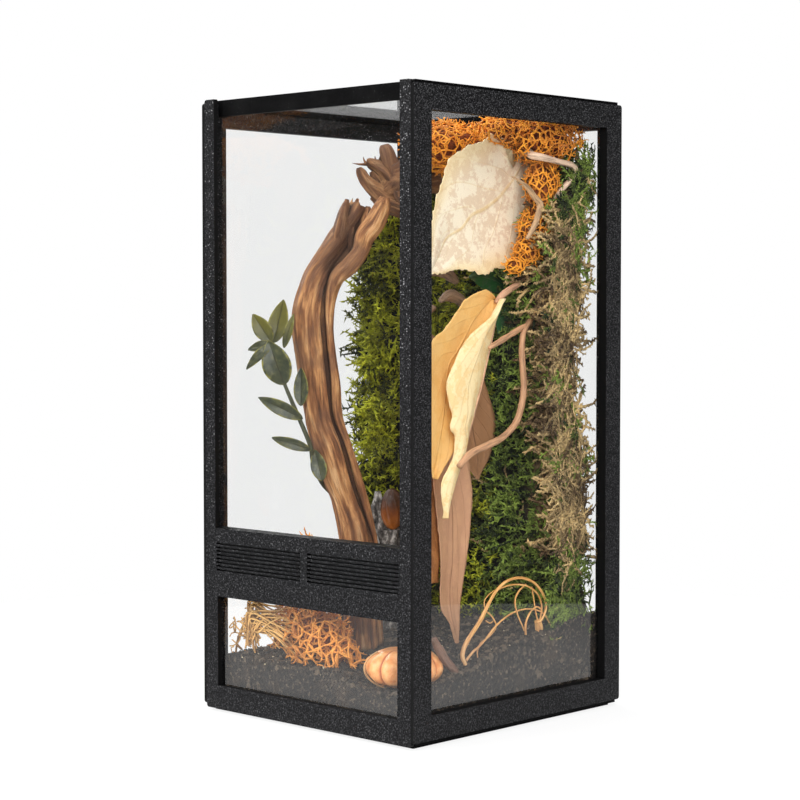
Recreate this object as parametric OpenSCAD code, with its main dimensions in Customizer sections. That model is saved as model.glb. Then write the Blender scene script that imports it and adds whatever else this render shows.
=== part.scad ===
/* [Body] */
// Width outside, left to right
body_w = 95; // [80:1:120]
// Depth outside, front to back
body_d = 100; // [84:1:130]
// Height from the ground to the top of the lid
body_h = 200; // [166:1:260]

/* [Side and back panels] */
// Thickness of the side and back panels
panel_t = 3; // [2.4:0.1:4]
// Width of the upright bars, measured from the outside of the body
bar_w = 7.8; // [5:0.1:12]
// Height of the top and bottom bars
bar_h = 7.7; // [6.5:0.1:12]
// Lip of a side panel that laps past the front and back panels
edge_lip = 1.1; // [0.6:0.1:1.6]
// Radius of the corners of every panel
corner_r = 1; // [0.4:0.1:2]

/* [Front panel] */
// Thickness of the front panel
front_t = 1.6; // [1.2:0.1:3]
// Width of the posts beside the door, measured from the outside of the body
post_w = 5.8; // [4.6:0.1:9]
// Height of the sill that the door stands on
sill_z = 60.4; // [52:0.1:80]
// Height of the vented bar between the door and the low window
bar_mid_h = 22.4; // [16:0.1:30]
// Height of the lower edge of the low window
low_window_z = 8.6; // [7:0.1:14]
// Side margin of the low window, measured from the outside of the body
low_window_margin = 6.8; // [5:0.1:12]
// Depth of the sill from the front face
sill_depth = 5.5; // [5:0.1:9]
// Thickness of the sill
sill_t = 2.6; // [1.6:0.1:4]

/* [Vents] */
// Rows of vent slots
vent_rows = 8; // [2:1:10]
// Distance from one row to the next
vent_pitch = 1.23; // [0.9:0.01:1.5]
// Height of one slot
vent_slot_h = 0.6; // [0.3:0.05:0.8]
// Solid strip between the left and the right slots
vent_gap = 3; // [2:0.1:10]
// Drop from the sill to the middle of the first row
vent_drop = 5; // [4:0.1:7]
// Length of one slot
vent_slot_w = 39.8; // [20:0.1:41]
// Thickness of the gauze behind the slots
gauze_t = 0.5; // [0.3:0.1:0.8]

/* [Clear sheets] */
// Thickness of every clear sheet
pane_t = 2; // [1.5:0.1:3]
// Overlap of the low sheet above its window
pane_overlap = 3.5; // [2:0.1:5]
// Running gap on each side of the door
slide_gap = 0.35; // [0.2:0.05:0.6]
// Gap round pieces that are set or bonded in place
seat_gap = 0.1; // [0.05:0.05:0.3]

/* [Lid] */
// Thickness of the top plate
cap_t = 1; // [0.8:0.1:2]
// Step from the outside of the body to the edge of the plates above and below it
cap_inset = 1; // [0.6:0.1:1.5]
// Width of the border round the clear top
lid_border = 10; // [6:0.5:16]
// Height of the front skirt, top plate included
skirt_h = 5.3; // [4:0.1:8]
// Thickness of the front skirt
skirt_t = 1.6; // [1.2:0.1:3]
// Gap that lets the lid lift out
lid_gap = 0.3; // [0.2:0.05:0.6]

/* [Base] */
// Thickness of the foot plate
foot_t = 0.9; // [0.6:0.1:2]
// Step from the outside of the body to the foot plate
foot_inset = 2.6; // [1.6:0.1:5]
// Thickness of the flange that the panels stand on
flange_t = 1.1; // [0.8:0.1:2]
// Height of the tray wall above the flange
tray_h = 5.6; // [4:0.1:8]
// Thickness of the tray wall
tray_wall = 1.6; // [1.2:0.1:2.5]
// Thickness of the tray floor
tray_floor = 1.4; // [1:0.1:3]

/* [Planting] */
// Height of the soil at the front
soil_front_z = 17.5; // [14:0.5:24]
// Height of the soil at the back
soil_back_z = 30; // [24:0.5:40]
// Thickness of the moss on the back wall
moss_t = 21; // [15:0.5:24]
// Extra thickness of the moss in the left rear corner
moss_wing_t = 14; // [6:0.5:16]
// Outside radius of the pumpkin pod
pod_r = 12.2; // [8:0.1:13]
// Height of the pumpkin pod
pod_h = 13; // [9:0.1:16]
// Number of ribs on the pumpkin pod
pod_ribs = 10; // [6:1:16]
// Thickness of the dried leaves
leaf_t = 0.5; // [0.4:0.1:1]
// Radius of the thick climbing stem
vine_r = 1.05; // [0.7:0.05:1.4]
// Radius of the curly tendril
curl_r = 0.8; // [0.6:0.05:1.1]

/* [Hidden] */
$fn = 32;

// Working values
cut = 1;
half_w = body_w / 2;
half_d = body_d / 2;
panel_z = foot_t + flange_t;
panel_h = body_h - cap_t - panel_z;
in_half_w = half_w - panel_t;
front_back_y = -half_d + front_t;
door_y = front_back_y + slide_gap;
groove_y = door_y + pane_t + slide_gap;
back_face_y = half_d - panel_t;
front_half_w = half_w - edge_lip - seat_gap;
door_open_half_w = half_w - post_w;
low_window_top = sill_z - bar_mid_h;
low_sheet_back_y = front_back_y + pane_t;
low_sheet_top = low_window_top + pane_overlap;
ceiling_z = body_h - cap_t - pane_t;
skirt_z = body_h - skirt_h;

// The space inside the clear sheets, which the planting fills
room_half_w = in_half_w - pane_t;
room_front_y = groove_y;
room_back_y = back_face_y - pane_t;
room_d = room_back_y - room_front_y;

// Routes and outlines of the planting are given for a room of this size, in mm.
// They stretch with the room, and their heights stretch upwards from the soil
route_half_w = 42.5;
route_front_y = -45.7;
route_d = 90.7;
route_soil_z = 17.5;
route_h = 197;
function placed_x(x) = x * room_half_w / route_half_w;
function placed_y(y) = room_front_y + (y - route_front_y) * room_d / route_d;
function placed_z(z) =
    soil_front_z + (z - route_soil_z) * (ceiling_z - soil_front_z) / (route_h - route_soil_z);
function placed(p) = [placed_x(p[0]), placed_y(p[1]), placed_z(p[2])];
// Stations [x, y, z, radius] of a stem, placed in the room
function placed_route(route) = [for (s = route) concat(placed(s), [s[3]])];

// ---- curves ----
function unit(v) = v / norm(v);
function blend(a, b, c, d, t) =
    0.5 * (2 * b + (c - a) * t + (2 * a - 5 * b + 4 * c - d) * t * t
        + (3 * b - a - 3 * c + d) * t * t * t);
// Open curve through the points p, with n steps between neighbours
function curve(p, n) = let (m = len(p) - 1) [
    for (i = [0 : m - 1], k = [0 : n - 1])
        blend(p[max(i - 1, 0)], p[i], p[i + 1], p[min(i + 2, m)], k / n),
    p[m]
];
// Closed curve through the points p, with n steps between neighbours
function loop_curve(p, n) = let (m = len(p)) [
    for (i = [0 : m - 1], k = [0 : n - 1])
        blend(p[(i + m - 1) % m], p[i], p[(i + 1) % m], p[(i + 2) % m], k / n)
];
function point(s) = [s[0], s[1], s[2]];
function heading(s, i) = unit(point(s[min(i + 1, len(s) - 1)]) - point(s[max(i - 1, 0)]));
function smooth_step(t) = let (c = min(max(t, 0), 1)) c * c * (3 - 2 * c);

// A round solid along stations [x, y, z, radius]; ref is never in line with the route
module stem(stations, sides = 8, ref = [0, 1, 0], steps = 2) {
    s = curve(stations, steps);
    rings = len(s);
    points = [
        for (i = [0 : rings - 1])
            let (t = heading(s, i), a = unit(cross(ref, t)), b = cross(t, a))
            for (k = [0 : sides - 1])
                point(s[i]) + s[i][3] * (cos(360 * k / sides) * a + sin(360 * k / sides) * b)
    ];
    walls = [
        for (i = [0 : rings - 2], k = [0 : sides - 1])
            let (a = i * sides + k, b = i * sides + (k + 1) % sides)
            each [[a, a + sides, b + sides], [a, b + sides, b]]
    ];
    ends = [
        [for (k = [0 : sides - 1]) k],
        [for (k = [sides - 1 : -1 : 0]) (rings - 1) * sides + k]
    ];
    polyhedron(points, concat(walls, ends), convexity = 8);
}

// A solid over the rectangle from [x0, y0] to [x1, y1]: flat at low, top height from f(x, y)
module field_solid(x0, x1, y0, y1, nx, ny, low, f) {
    points = concat(
        [for (j = [0 : ny], i = [0 : nx])
            let (x = x0 + (x1 - x0) * i / nx, y = y0 + (y1 - y0) * j / ny) [x, y, f(x, y)]],
        [for (j = [0 : ny], i = [0 : nx])
            [x0 + (x1 - x0) * i / nx, y0 + (y1 - y0) * j / ny, low]]
    );
    row = nx + 1;
    under = row * (ny + 1);
    faces = concat(
        [for (j = [0 : ny - 1], i = [0 : nx - 1]) let (a = j * row + i)
            each [[a, a + row, a + row + 1], [a, a + row + 1, a + 1],
                  [under + a, under + a + 1, under + a + row + 1],
                  [under + a, under + a + row + 1, under + a + row]]],
        [for (i = [0 : nx - 1]) let (a = i)
            each [[a, a + 1, under + a + 1], [a, under + a + 1, under + a]]],
        [for (i = [0 : nx - 1]) let (a = ny * row + i)
            each [[a, under + a, under + a + 1], [a, under + a + 1, a + 1]]],
        [for (j = [0 : ny - 1]) let (a = j * row)
            each [[a, under + a, under + a + row], [a, under + a + row, a + row]]],
        [for (j = [0 : ny - 1]) let (a = j * row + nx)
            each [[a, a + row, under + a + row], [a, under + a + row, under + a]]]
    );
    polyhedron(points, faces, convexity = 6);
}

// A rounded lump with half sizes r = [x, y, z]; ribs are pressed in by rib_depth
module lump(centre, r, around = 14, up = 8, ribs = 3, rib_depth = 0.08) {
    points = [
        [0, 0, -r[2]],
        for (j = [1 : up - 1], k = [0 : around - 1])
            let (a = 360 * k / around, e = -90 + 180 * j / up,
                 w = 1 - rib_depth * (1 - abs(cos(ribs * a / 2))))
            [r[0] * w * cos(e) * cos(a), r[1] * w * cos(e) * sin(a), r[2] * sin(e)],
        [0, 0, r[2]]
    ];
    top = len(points) - 1;
    faces = concat(
        [for (k = [0 : around - 1]) [0, 1 + k, 1 + (k + 1) % around]],
        [for (j = [0 : up - 3], k = [0 : around - 1])
            let (a = 1 + j * around + k, b = 1 + j * around + (k + 1) % around)
            each [[a, a + around, b + around], [a, b + around, b]]],
        [for (k = [0 : around - 1])
            [top, top - around + (k + 1) % around, top - around + k]]
    );
    translate(centre) polyhedron(points, faces, convexity = 4);
}

// A flat leaf with its outline [y, z] in the plane x
module upright_leaf(x, outline) {
    flat = loop_curve([for (p = outline) [placed_y(p[0]), placed_z(p[1])]], 3);
    translate([placed_x(x) - leaf_t / 2, 0, 0])
        rotate([90, 0, 90])
            linear_extrude(leaf_t)
                polygon(flat);
}

// A small leaf blade from its base a to its tip b, w wide, with its face along n
module blade(a, b, w, n) {
    along = placed(b) - placed(a);
    u = unit(along);
    v = unit(cross(n, u));
    k = cross(u, v);
    length = norm(along);
    steps = 8;
    fullness = 0.8;
    edge = [for (i = [0 : steps]) let (t = i / steps)
        [t * length, w / 2 * pow(sin(180 * pow(t, fullness)), fullness)]];
    outline = concat(edge, [for (i = [steps - 1 : -1 : 1]) [edge[i][0], -edge[i][1]]]);
    o = placed(a);
    multmatrix([
        [u[0], v[0], k[0], o[0]],
        [u[1], v[1], k[1], o[1]],
        [u[2], v[2], k[2], o[2]],
        [0, 0, 0, 1]
    ])
        translate([0, 0, -leaf_t / 2])
            linear_extrude(leaf_t)
                polygon(outline);
}

// ---- printed panels ----
module plate_outline(w, h) {
    translate([corner_r, 0]) square([w - 2 * corner_r, h]);
    translate([0, corner_r]) square([w, h - 2 * corner_r]);
    for (x = [corner_r, w - corner_r], y = [corner_r, h - corner_r])
        translate([x, y]) circle(corner_r);
}

module side_panel() {
    rebate_w = panel_t - edge_lip + cut;
    difference() {
        translate([in_half_w, -half_d, panel_z])
            rotate([90, 0, 90])
                linear_extrude(panel_t)
                    difference() {
                        plate_outline(body_d, panel_h);
                        translate([bar_w, bar_h])
                            square([body_d - 2 * bar_w, panel_h - 2 * bar_h]);
                    }
        translate([in_half_w - cut, -half_d - cut, panel_z - cut])
            cube([rebate_w, front_t + cut, panel_h + 2 * cut]);
        translate([in_half_w - cut, back_face_y, panel_z - cut])
            cube([rebate_w, panel_t + cut, panel_h + 2 * cut]);
    }
}

module right_panel() {
    color("#35363a") side_panel();
}

module left_panel() {
    color("#35363a") mirror([1, 0, 0]) side_panel();
}

module back_panel() {
    back_w = 2 * (half_w - edge_lip - seat_gap);
    window_w = 2 * (half_w - bar_w);
    color("#35363a")
        translate([-back_w / 2, half_d, panel_z])
            rotate([90, 0, 0])
                linear_extrude(panel_t)
                    difference() {
                        plate_outline(back_w, panel_h);
                        translate([(back_w - window_w) / 2, bar_h])
                            square([window_w, panel_h - 2 * bar_h]);
                    }
}

module front_outline() {
    window_w = 2 * (half_w - low_window_margin);
    difference() {
        translate([-front_half_w, foot_t])
            plate_outline(2 * front_half_w, body_h - foot_t);
        translate([-door_open_half_w, sill_z])
            square([2 * door_open_half_w, body_h]);
        translate([-window_w / 2, low_window_z])
            square([window_w, low_window_top - low_window_z]);
    }
}

module vent_slots() {
    for (row = [0 : vent_rows - 1], side = [-1, 1])
        translate([side * (vent_gap + vent_slot_w) / 2, front_back_y, sill_z - vent_drop - row * vent_pitch])
            cube([vent_slot_w, 2 * front_t + cut, vent_slot_h], center = true);
}

module front_panel() {
    sill_half_w = room_half_w - seat_gap;
    color("#35363a") {
        difference() {
            translate([0, front_back_y, 0])
                rotate([90, 0, 0])
                    linear_extrude(front_t)
                        front_outline();
            vent_slots();
        }
        translate([-sill_half_w, front_back_y, sill_z - sill_t])
            cube([2 * sill_half_w, sill_depth - front_t, sill_t]);
    }
}

module vent_gauze() {
    gauze_half_w = room_half_w - seat_gap;
    gauze_z = low_sheet_top + seat_gap;
    color("#1b1c1e")
        translate([-gauze_half_w, front_back_y, gauze_z])
            cube([2 * gauze_half_w, gauze_t, sill_z - sill_t - seat_gap - gauze_z]);
}

// ---- base ----
module base_tray() {
    flange_half_w = half_w - cap_inset;
    flange_y = front_back_y + seat_gap;
    tray_half_w = room_half_w - seat_gap;
    tray_y = low_sheet_back_y + seat_gap;
    tray_d = room_back_y - seat_gap - tray_y;
    color("#1b1c1e") {
        translate([-half_w + foot_inset, -half_d + foot_inset, 0])
            cube([body_w - 2 * foot_inset, body_d - 2 * foot_inset, foot_t]);
        translate([-flange_half_w, flange_y, foot_t])
            cube([2 * flange_half_w, half_d - cap_inset - flange_y, flange_t]);
        difference() {
            translate([-tray_half_w, tray_y, panel_z])
                cube([2 * tray_half_w, tray_d, tray_h]);
            translate([-tray_half_w + tray_wall, tray_y + tray_wall, panel_z + tray_floor])
                cube([2 * (tray_half_w - tray_wall), tray_d - 2 * tray_wall, tray_h]);
        }
    }
}

// ---- clear sheets ----
module side_sheet() {
    notch_y = skirt_t + lid_gap;
    notch_z = ceiling_z - seat_gap - skirt_z + lid_gap;
    sheet_h = ceiling_z - seat_gap - panel_z;
    sheet_d = back_face_y - groove_y;
    translate([room_half_w, groove_y, panel_z])
        rotate([90, 0, 90])
            linear_extrude(pane_t)
                difference() {
                    square([sheet_d, sheet_h]);
                    translate([-cut, sheet_h - notch_z])
                        square([notch_y + cut, notch_z + cut]);
                }
}

module right_sheet() {
    color("#dfe9ea", 0.25) side_sheet();
}

module left_sheet() {
    color("#dfe9ea", 0.25) mirror([1, 0, 0]) side_sheet();
}

module back_sheet() {
    sheet_half_w = room_half_w - seat_gap;
    color("#dfe9ea", 0.25)
        translate([-sheet_half_w, room_back_y, panel_z])
            cube([2 * sheet_half_w, pane_t, ceiling_z - seat_gap - panel_z]);
}

module low_front_sheet() {
    sheet_half_w = in_half_w - seat_gap;
    color("#dfe9ea", 0.25)
        translate([-sheet_half_w, front_back_y, panel_z])
            cube([2 * sheet_half_w, pane_t, low_sheet_top - panel_z]);
}

module sliding_door() {
    door_half_w = in_half_w - slide_gap;
    door_top_drop = 0.6;
    color("#dfe9ea", 0.25)
        translate([-door_half_w, door_y, sill_z])
            cube([2 * door_half_w, pane_t, body_h - door_top_drop - sill_z]);
}

// ---- lid ----
module lid_plate() {
    plate_half_w = half_w - cap_inset;
    plate_back_y = half_d - cap_inset;
    ear_w = plate_half_w - in_half_w;
    ear_y = front_back_y + seat_gap;
    skirt_half_w = in_half_w - lid_gap;
    color("#1b1c1e") {
        difference() {
            translate([-plate_half_w, groove_y, body_h - cap_t])
                cube([2 * plate_half_w, plate_back_y - groove_y, cap_t]);
            translate([-plate_half_w + lid_border, groove_y + lid_border, body_h - cap_t - cut])
                cube([2 * (plate_half_w - lid_border), plate_back_y - groove_y - 2 * lid_border,
                      cap_t + 2 * cut]);
        }
        for (x = [-plate_half_w, in_half_w])
            translate([x, ear_y, body_h - cap_t])
                cube([ear_w, groove_y - ear_y, cap_t]);
        translate([-skirt_half_w, groove_y, skirt_z])
            cube([2 * skirt_half_w, skirt_t, skirt_h]);
    }
}

module lid_sheet() {
    sheet_half_w = in_half_w - lid_gap;
    sheet_y = groove_y + skirt_t + seat_gap;
    color("#dfe9ea", 0.25)
        translate([-sheet_half_w, sheet_y, ceiling_z])
            cube([2 * sheet_half_w, back_face_y - lid_gap - sheet_y, pane_t]);
}

// ---- planting ----
// The pod lies between the right wall and the front, pressed into the soil
pod_side_gap = 3;
pod_front_gap = 0.7;
pod_sink = 3.6;
pod_centre = [
    room_half_w - pod_side_gap - pod_r,
    room_front_y + pod_front_gap + pod_r,
    soil_front_z + pod_h / 2 - pod_sink
];

// The soil dips in front of the pod
hollow_place = [pod_centre[0] + 1.7, pod_centre[1] - 4.2];
hollow_depth = 4;
hollow_reach = 15;

// Height of the soil: rises to the back
function soil_height(x, y) =
    let (rise = smooth_step((y - room_front_y) / room_d),
         away = norm([x, y] - hollow_place) / hollow_reach,
         hollow = hollow_depth * exp(-away * away),
         waves = 0.7 * sin(9 * x + 40) * cos(8 * y) + 0.4 * sin(23 * x) * sin(19 * y + 30))
    soil_front_z + (soil_back_z - soil_front_z) * rise - hollow + waves;

module soil() {
    edge = 2 * seat_gap;
    soil_half_w = room_half_w - edge;
    front_y = low_sheet_back_y + edge;
    back_y = room_back_y - edge;
    plug_inset = tray_wall + edge;
    low_z = panel_z + tray_h + seat_gap;
    plug_half_w = soil_half_w - plug_inset;
    plug_top = 1;
    color("#2e2823") {
        field_solid(-soil_half_w, soil_half_w, front_y, back_y, 22, 22, low_z,
            function (x, y) soil_height(x, y));
        translate([-plug_half_w, front_y + plug_inset, panel_z + tray_floor])
            cube([2 * plug_half_w, back_y - front_y - 2 * plug_inset,
                  low_z + plug_top - panel_z - tray_floor]);
    }
}

// Thickness of the moss at x across and z up: fuller in the left corner, thin at the top edge
function moss_depth(x, z, low, high) =
    let (wing = moss_wing_t * smooth_step((-x - 22) / 9),
         top = 0.35 + 0.65 * smooth_step((high - z) / 22),
         foot = 0.88 + 0.12 * smooth_step((z - low) / 40),
         waves = 1.1 * sin(11 * x + 3 * z) + 0.8 * sin(7 * z - 50) * cos(13 * x))
    (moss_t + wing) * top * foot + waves;

module moss_wall() {
    moss_in_soil = 6;
    moss_low_z = soil_back_z - moss_in_soil;
    moss_high_z = placed_z(181);
    moss_half_w = room_half_w - 2 * seat_gap;
    color("#5b6d2c")
        translate([0, room_back_y - 2 * seat_gap, 0])
            rotate([90, 0, 0])
                field_solid(-moss_half_w, moss_half_w, moss_low_z, moss_high_z, 20, 26, 0,
                    function (x, z) moss_depth(x, z, moss_low_z, moss_high_z));
}

trunk_route = [
    [-8, -12, 12, 7.4], [-7.6, -14, 34, 6.2], [-8.7, -17, 56, 6.2], [-12.1, -21, 77, 6.6],
    [-16.4, -24.5, 97, 7.2], [-18.4, -26, 112, 6.7], [-20.3, -25.5, 128, 7.4],
    [-20.2, -23, 138, 7], [-14.4, -18.5, 150, 6.5], [-8.4, -15, 161, 6.4], [-6.4, -13, 169, 4.6]
];
// The ridge keeps its distance from the trunk's ninth station
ridge_foot = 8;
ridge_route = [
    [6.9, -1.5, -6, 1.8], [10.4, -1, 1, 2.8], [13.8, 0.5, 6.5, 3], [16.4, 2.5, 12, 3],
    [17, 4, 18.5, 2]
];

module driftwood_trunk() {
    color("#9a6a48") {
        stem(placed_route(trunk_route), sides = 14);
        stem([for (s = ridge_route) concat(placed(trunk_route[ridge_foot]) + point(s), [s[3]])]);
    }
}

crown_route = [
    [-4.5, 35, 166, 4.5], [-6.5, 27, 175, 5.5], [-13, 15, 178.5, 7.5], [-21, 8.5, 177.5, 8],
    [-28, 5.5, 178, 6.2], [-34.5, 4.5, 180.5, 1]
];
crown_stubs = [
    [[-15, 12, 180, 4.5], [-15.4, 11, 186, 4], [-16.4, 10, 190.5, 2.6]],
    [[-20.5, 9, 180, 4.4], [-21.2, 8.2, 185.5, 3.6], [-22.2, 7.5, 189.5, 2]],
    [[-22, 7, 176, 5.5], [-21.4, 5.4, 170.5, 4.6], [-20.6, 4.4, 166.5, 2.4]]
];

module driftwood_crown() {
    color("#8f6243") {
        stem(placed_route(crown_route), sides = 10, ref = [0, 0, 1]);
        for (stub = crown_stubs)
            stem(placed_route(stub));
    }
}

sprig_route = [
    [-12.5, -25, 14, 0.9], [-13.2, -25, 40, 0.9], [-15.3, -27.2, 69, 0.9], [-16.5, -31.5, 88, 0.8],
    [-18.4, -35, 98, 0.8], [-21, -38.4, 108, 0.7], [-25, -40.6, 121, 0.5]
];
// Blades of the sprig: [base, tip, width]
sprig_blades = [
    [[-25, -41, 121.4], [-33.2, -41.2, 130.2], 7],
    [[-24.6, -40.6, 121.6], [-23, -38.6, 135], 6.4],
    [[-22.4, -39, 117], [-18.6, -38, 128.6], 4.4],
    [[-25.4, -41.4, 120.4], [-36.4, -43.2, 112.4], 6.4],
    [[-21, -39.4, 107.4], [-25.4, -41, 121], 8.4],
    [[-18.6, -36.6, 97], [-30.8, -41.2, 103.6], 5],
    [[-20, -37, 101], [-17.4, -36.6, 112.4], 4.4],
    [[-16.6, -33, 87], [-26.8, -39.2, 91], 3.8],
    [[-15.8, -29.8, 74], [-19.4, -30.4, 85], 3.4]
];
blade_face = [0.62, -0.78, 0.1];

module plant_sprig() {
    color("#4f6138") {
        stem(placed_route(sprig_route));
        for (b = sprig_blades)
            blade(b[0], b[1], b[2], blade_face);
    }
}

pale_leaf_x = 22;
pale_leaf_edge = [
    [10.8, 188.1], [21.3, 189.4], [33, 185.5], [31.5, 174], [27.5, 154], [19.5, 145], [6.5, 143.3],
    [-6, 145.4], [-15, 142.5], [-17.5, 155], [-14.5, 168], [-8, 178], [-0.5, 186]
];
pale_petiole = [
    [22, 31, 183.5, 1.1], [25, 32.4, 182.8, 1.1], [32, 33.2, 181, 1], [37.5, 36.5, 177, 0.9],
    [38.5, 39, 172, 0.8]
];

module pale_leaf() {
    color("#efdcb4") {
        upright_leaf(pale_leaf_x, pale_leaf_edge);
        stem(placed_route(pale_petiole), ref = [0, 0, 1]);
    }
}

folded_leaf_x = 26;
folded_leaf_edge = [
    [16, 133], [7, 137], [-4, 132.6], [-14.5, 124], [-18.8, 112], [-18.4, 92], [-15.6, 78],
    [-13.4, 67], [-8.6, 78], [-1, 101]
];
folded_petiole = [
    [26, 14, 134.6, 0.9], [27, 19, 138, 0.9], [28, 24.5, 141, 0.8], [28, 29, 142.5, 0.7], [28, 36, 144, 0.7]
];

module folded_leaf() {
    color("#e2b877") {
        upright_leaf(folded_leaf_x, folded_leaf_edge);
        stem(placed_route(folded_petiole), ref = [0, 0, 1]);
    }
}

strip_leaf_edge = [
    [-16, 84], [-8, 92], [1.5, 82], [0.5, 60], [-2.5, 38], [-6.5, 18], [-11, 24], [-15, 40], [-17.5, 60]
];

module strip_leaf() {
    strip_leaf_x = 21;
    color("#c39a6b") upright_leaf(strip_leaf_x, strip_leaf_edge);
}

brown_leaf_edge = [[3, 100], [9, 110], [15, 122], [17, 106], [15, 90], [9, 76], [4, 84]];
brown_petiole = [[14, 12.5, 118, 0.8], [13.5, 18, 124, 0.8], [13, 27, 128, 0.7], [12.5, 36, 130, 0.7]];

module brown_leaf() {
    brown_leaf_x = 14;
    color("#a87443") {
        upright_leaf(brown_leaf_x, brown_leaf_edge);
        stem(placed_route(brown_petiole), ref = [0, 0, 1]);
    }
}

green_blades = [
    [[17, 27, 140], [20, 6, 142.6], 8],
    [[18, 27, 136], [20.6, 14.6, 125.6], 9],
    [[15, 26, 134], [10, -2, 133], 9]
];

// Stalk of a green leaf, from the base of its blade into the moss
green_stalk = [[0, 0, 0, 0.8], [-0.5, 4.5, -1, 0.8], [-1, 9, -3, 0.8]];

module green_leaves() {
    green_face = [1, -0.35, 0.2];
    color("#3c5a34")
        for (b = green_blades) {
            blade(b[0], b[1], b[2], green_face);
            stem(placed_route([for (s = green_stalk) concat(b[0] + point(s), [s[3]])]), ref = [0, 0, 1]);
        }
}

climb_route = [
    [31, -14.5, 81, 0.9], [32, -2.3, 87.4, 1], [33, 8.3, 92.8, 1], [34, 14, 100.3, 1],
    [34, 17.5, 106.4, 1], [34, 16.6, 113, 1], [34, 16, 120.4, 1], [33, 20, 127, 0.9], [32, 27, 130, 0.9],
    [31.5, 36, 131, 0.8]
];
climb_branch = [[33.6, 16, 119, 0.8], [31.5, 12, 122.6, 0.8], [28.6, 7, 122, 0.6]];

// The stations of the climbing stem hold a share of its radius
function vine_route(route) = [for (s = route) concat(placed(s), [s[3] * vine_r])];

module climbing_stem() {
    color("#b98a67") {
        stem(vine_route(climb_route), ref = [1, 0, 0]);
        stem(vine_route(climb_branch), ref = [0, 0, 1]);
    }
}

curl_route = [
    [40.5, -18.9, 16], [40.5, -17.6, 22], [40.5, -12.5, 31.3], [40.5, -7.2, 38.1], [40.5, -1.4, 43],
    [40.5, 5.5, 44.6], [40.5, 12.6, 42.9], [40.5, 17.6, 38], [40.4, 19.6, 33], [40, 18.6, 30],
    [39, 15.6, 27], [38.4, 13.4, 21]
];

module curly_tendril() {
    color("#a9794f")
        stem([for (p = curl_route) concat(placed(p), [curl_r])], ref = [1, 0, 0]);
}

// Stalks that hold the top lichen in the moss
lichen_stalks = [
    [[4, 24, 185, 3], [5, 33, 178, 3], [6, 38, 168, 2.5]],
    [[32, 33, 184, 2.5], [32, 38, 176, 2.5], [32, 40, 166, 2]],
    [[34, 20, 163, 2.2], [34, 28, 162, 2.2], [34, 37, 160, 2]]
];

function under_ceiling(x, y, drop) = [placed_x(x), placed_y(y), ceiling_z - drop];

module lichen_top() {
    color("#c97a2b") {
        lump(under_ceiling(4, 14, 10.5), [placed_x(13), 18, 8.6]);
        lump(under_ceiling(32.4, 29, 10), [8.6, 14, 8.4]);
        lump(placed([34, 18.5, 163]), [6.4, 5.5, 18]);
        for (stalk = lichen_stalks)
            stem(placed_route(stalk), ref = [1, 0, 0]);
    }
}

module lichen_low() {
    color("#c97a2b") {
        lump(placed([-11, -34.5, 26]), [12, 6.8, 12]);
        lump(placed([-14.5, -34, 44]), [4.5, 4, 16]);
    }
}

module lichen_tan() {
    color("#c79a5e") lump(placed([-32, -38.2, 25]), [8.6, 6.6, 11]);
}

// Stalk of the pod, from the middle of its top
pod_stalk = [[0, 0, -2.9, 1.6], [0.3, -0.2, 0.6, 1.2], [1.5, -1, 3.1, 1.3]];

module pumpkin_pod() {
    ribs_deep = 0.14;
    facets_per_rib = 4;
    pod_top = pod_centre + [0, 0, pod_h / 2];
    color("#e2a06c") {
        lump(pod_centre, [pod_r, pod_r, pod_h / 2], around = facets_per_rib * pod_ribs, up = 8,
            ribs = pod_ribs, rib_depth = ribs_deep);
        stem([for (s = pod_stalk) concat(pod_top + point(s), [s[3]])]);
    }
}

// The root runs down between the right sheet and the back of the pod
root_route = [
    [-4, -10.4, 13.5, 1], [-4.2, -7.4, 8.5, 1.3], [-4.5, -3.4, 3, 1.5], [-4.9, -0.4, -3.5, 1.6]
];

module root_piece() {
    corner = [room_half_w, pod_centre[1] + pod_r, soil_front_z];
    color("#7b5337") stem([for (s = root_route) concat(corner + point(s), [s[3]])], ref = [1, 0, 0]);
}

bark_route = [[-13, 8, 20, 6], [-13.4, 6.4, 38, 5.6], [-13.8, 5, 52, 5.2], [-14, 4.4, 57.5, 3.6]];

module bark_piece() {
    color("#6d5d50") stem(placed_route(bark_route), sides = 10);
}

// The bud sits on the end of the bark
bud_r = [4.2, 3.6, 7];
bud_offset = [2, -1.8];
bud_sink = 1;

module amber_bud() {
    bark_end = placed(bark_route[len(bark_route) - 1]);
    bud_centre = bark_end + [bud_offset[0], bud_offset[1], bud_r[2] - bud_sink];
    color("#b06a2c") lump(bud_centre, bud_r, around = 12, up = 6);
}

base_tray();
left_panel();
right_panel();
back_panel();
front_panel();
vent_gauze();
left_sheet();
right_sheet();
back_sheet();
low_front_sheet();
sliding_door();
lid_plate();
lid_sheet();
soil();
moss_wall();
driftwood_trunk();
driftwood_crown();
plant_sprig();
pale_leaf();
folded_leaf();
strip_leaf();
brown_leaf();
green_leaves();
climbing_stem();
curly_tendril();
lichen_top();
lichen_low();
lichen_tan();
pumpkin_pod();
root_piece();
bark_piece();
amber_bud();
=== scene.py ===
"""Looks of a small reptile terrarium: printed black case, clear sheets, dried planting."""

import math
import random

import bmesh
import bpy
import numpy as np
from bpy.props import FloatProperty, FloatVectorProperty, IntProperty, PointerProperty
from mathutils import Matrix, Vector, noise


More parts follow.
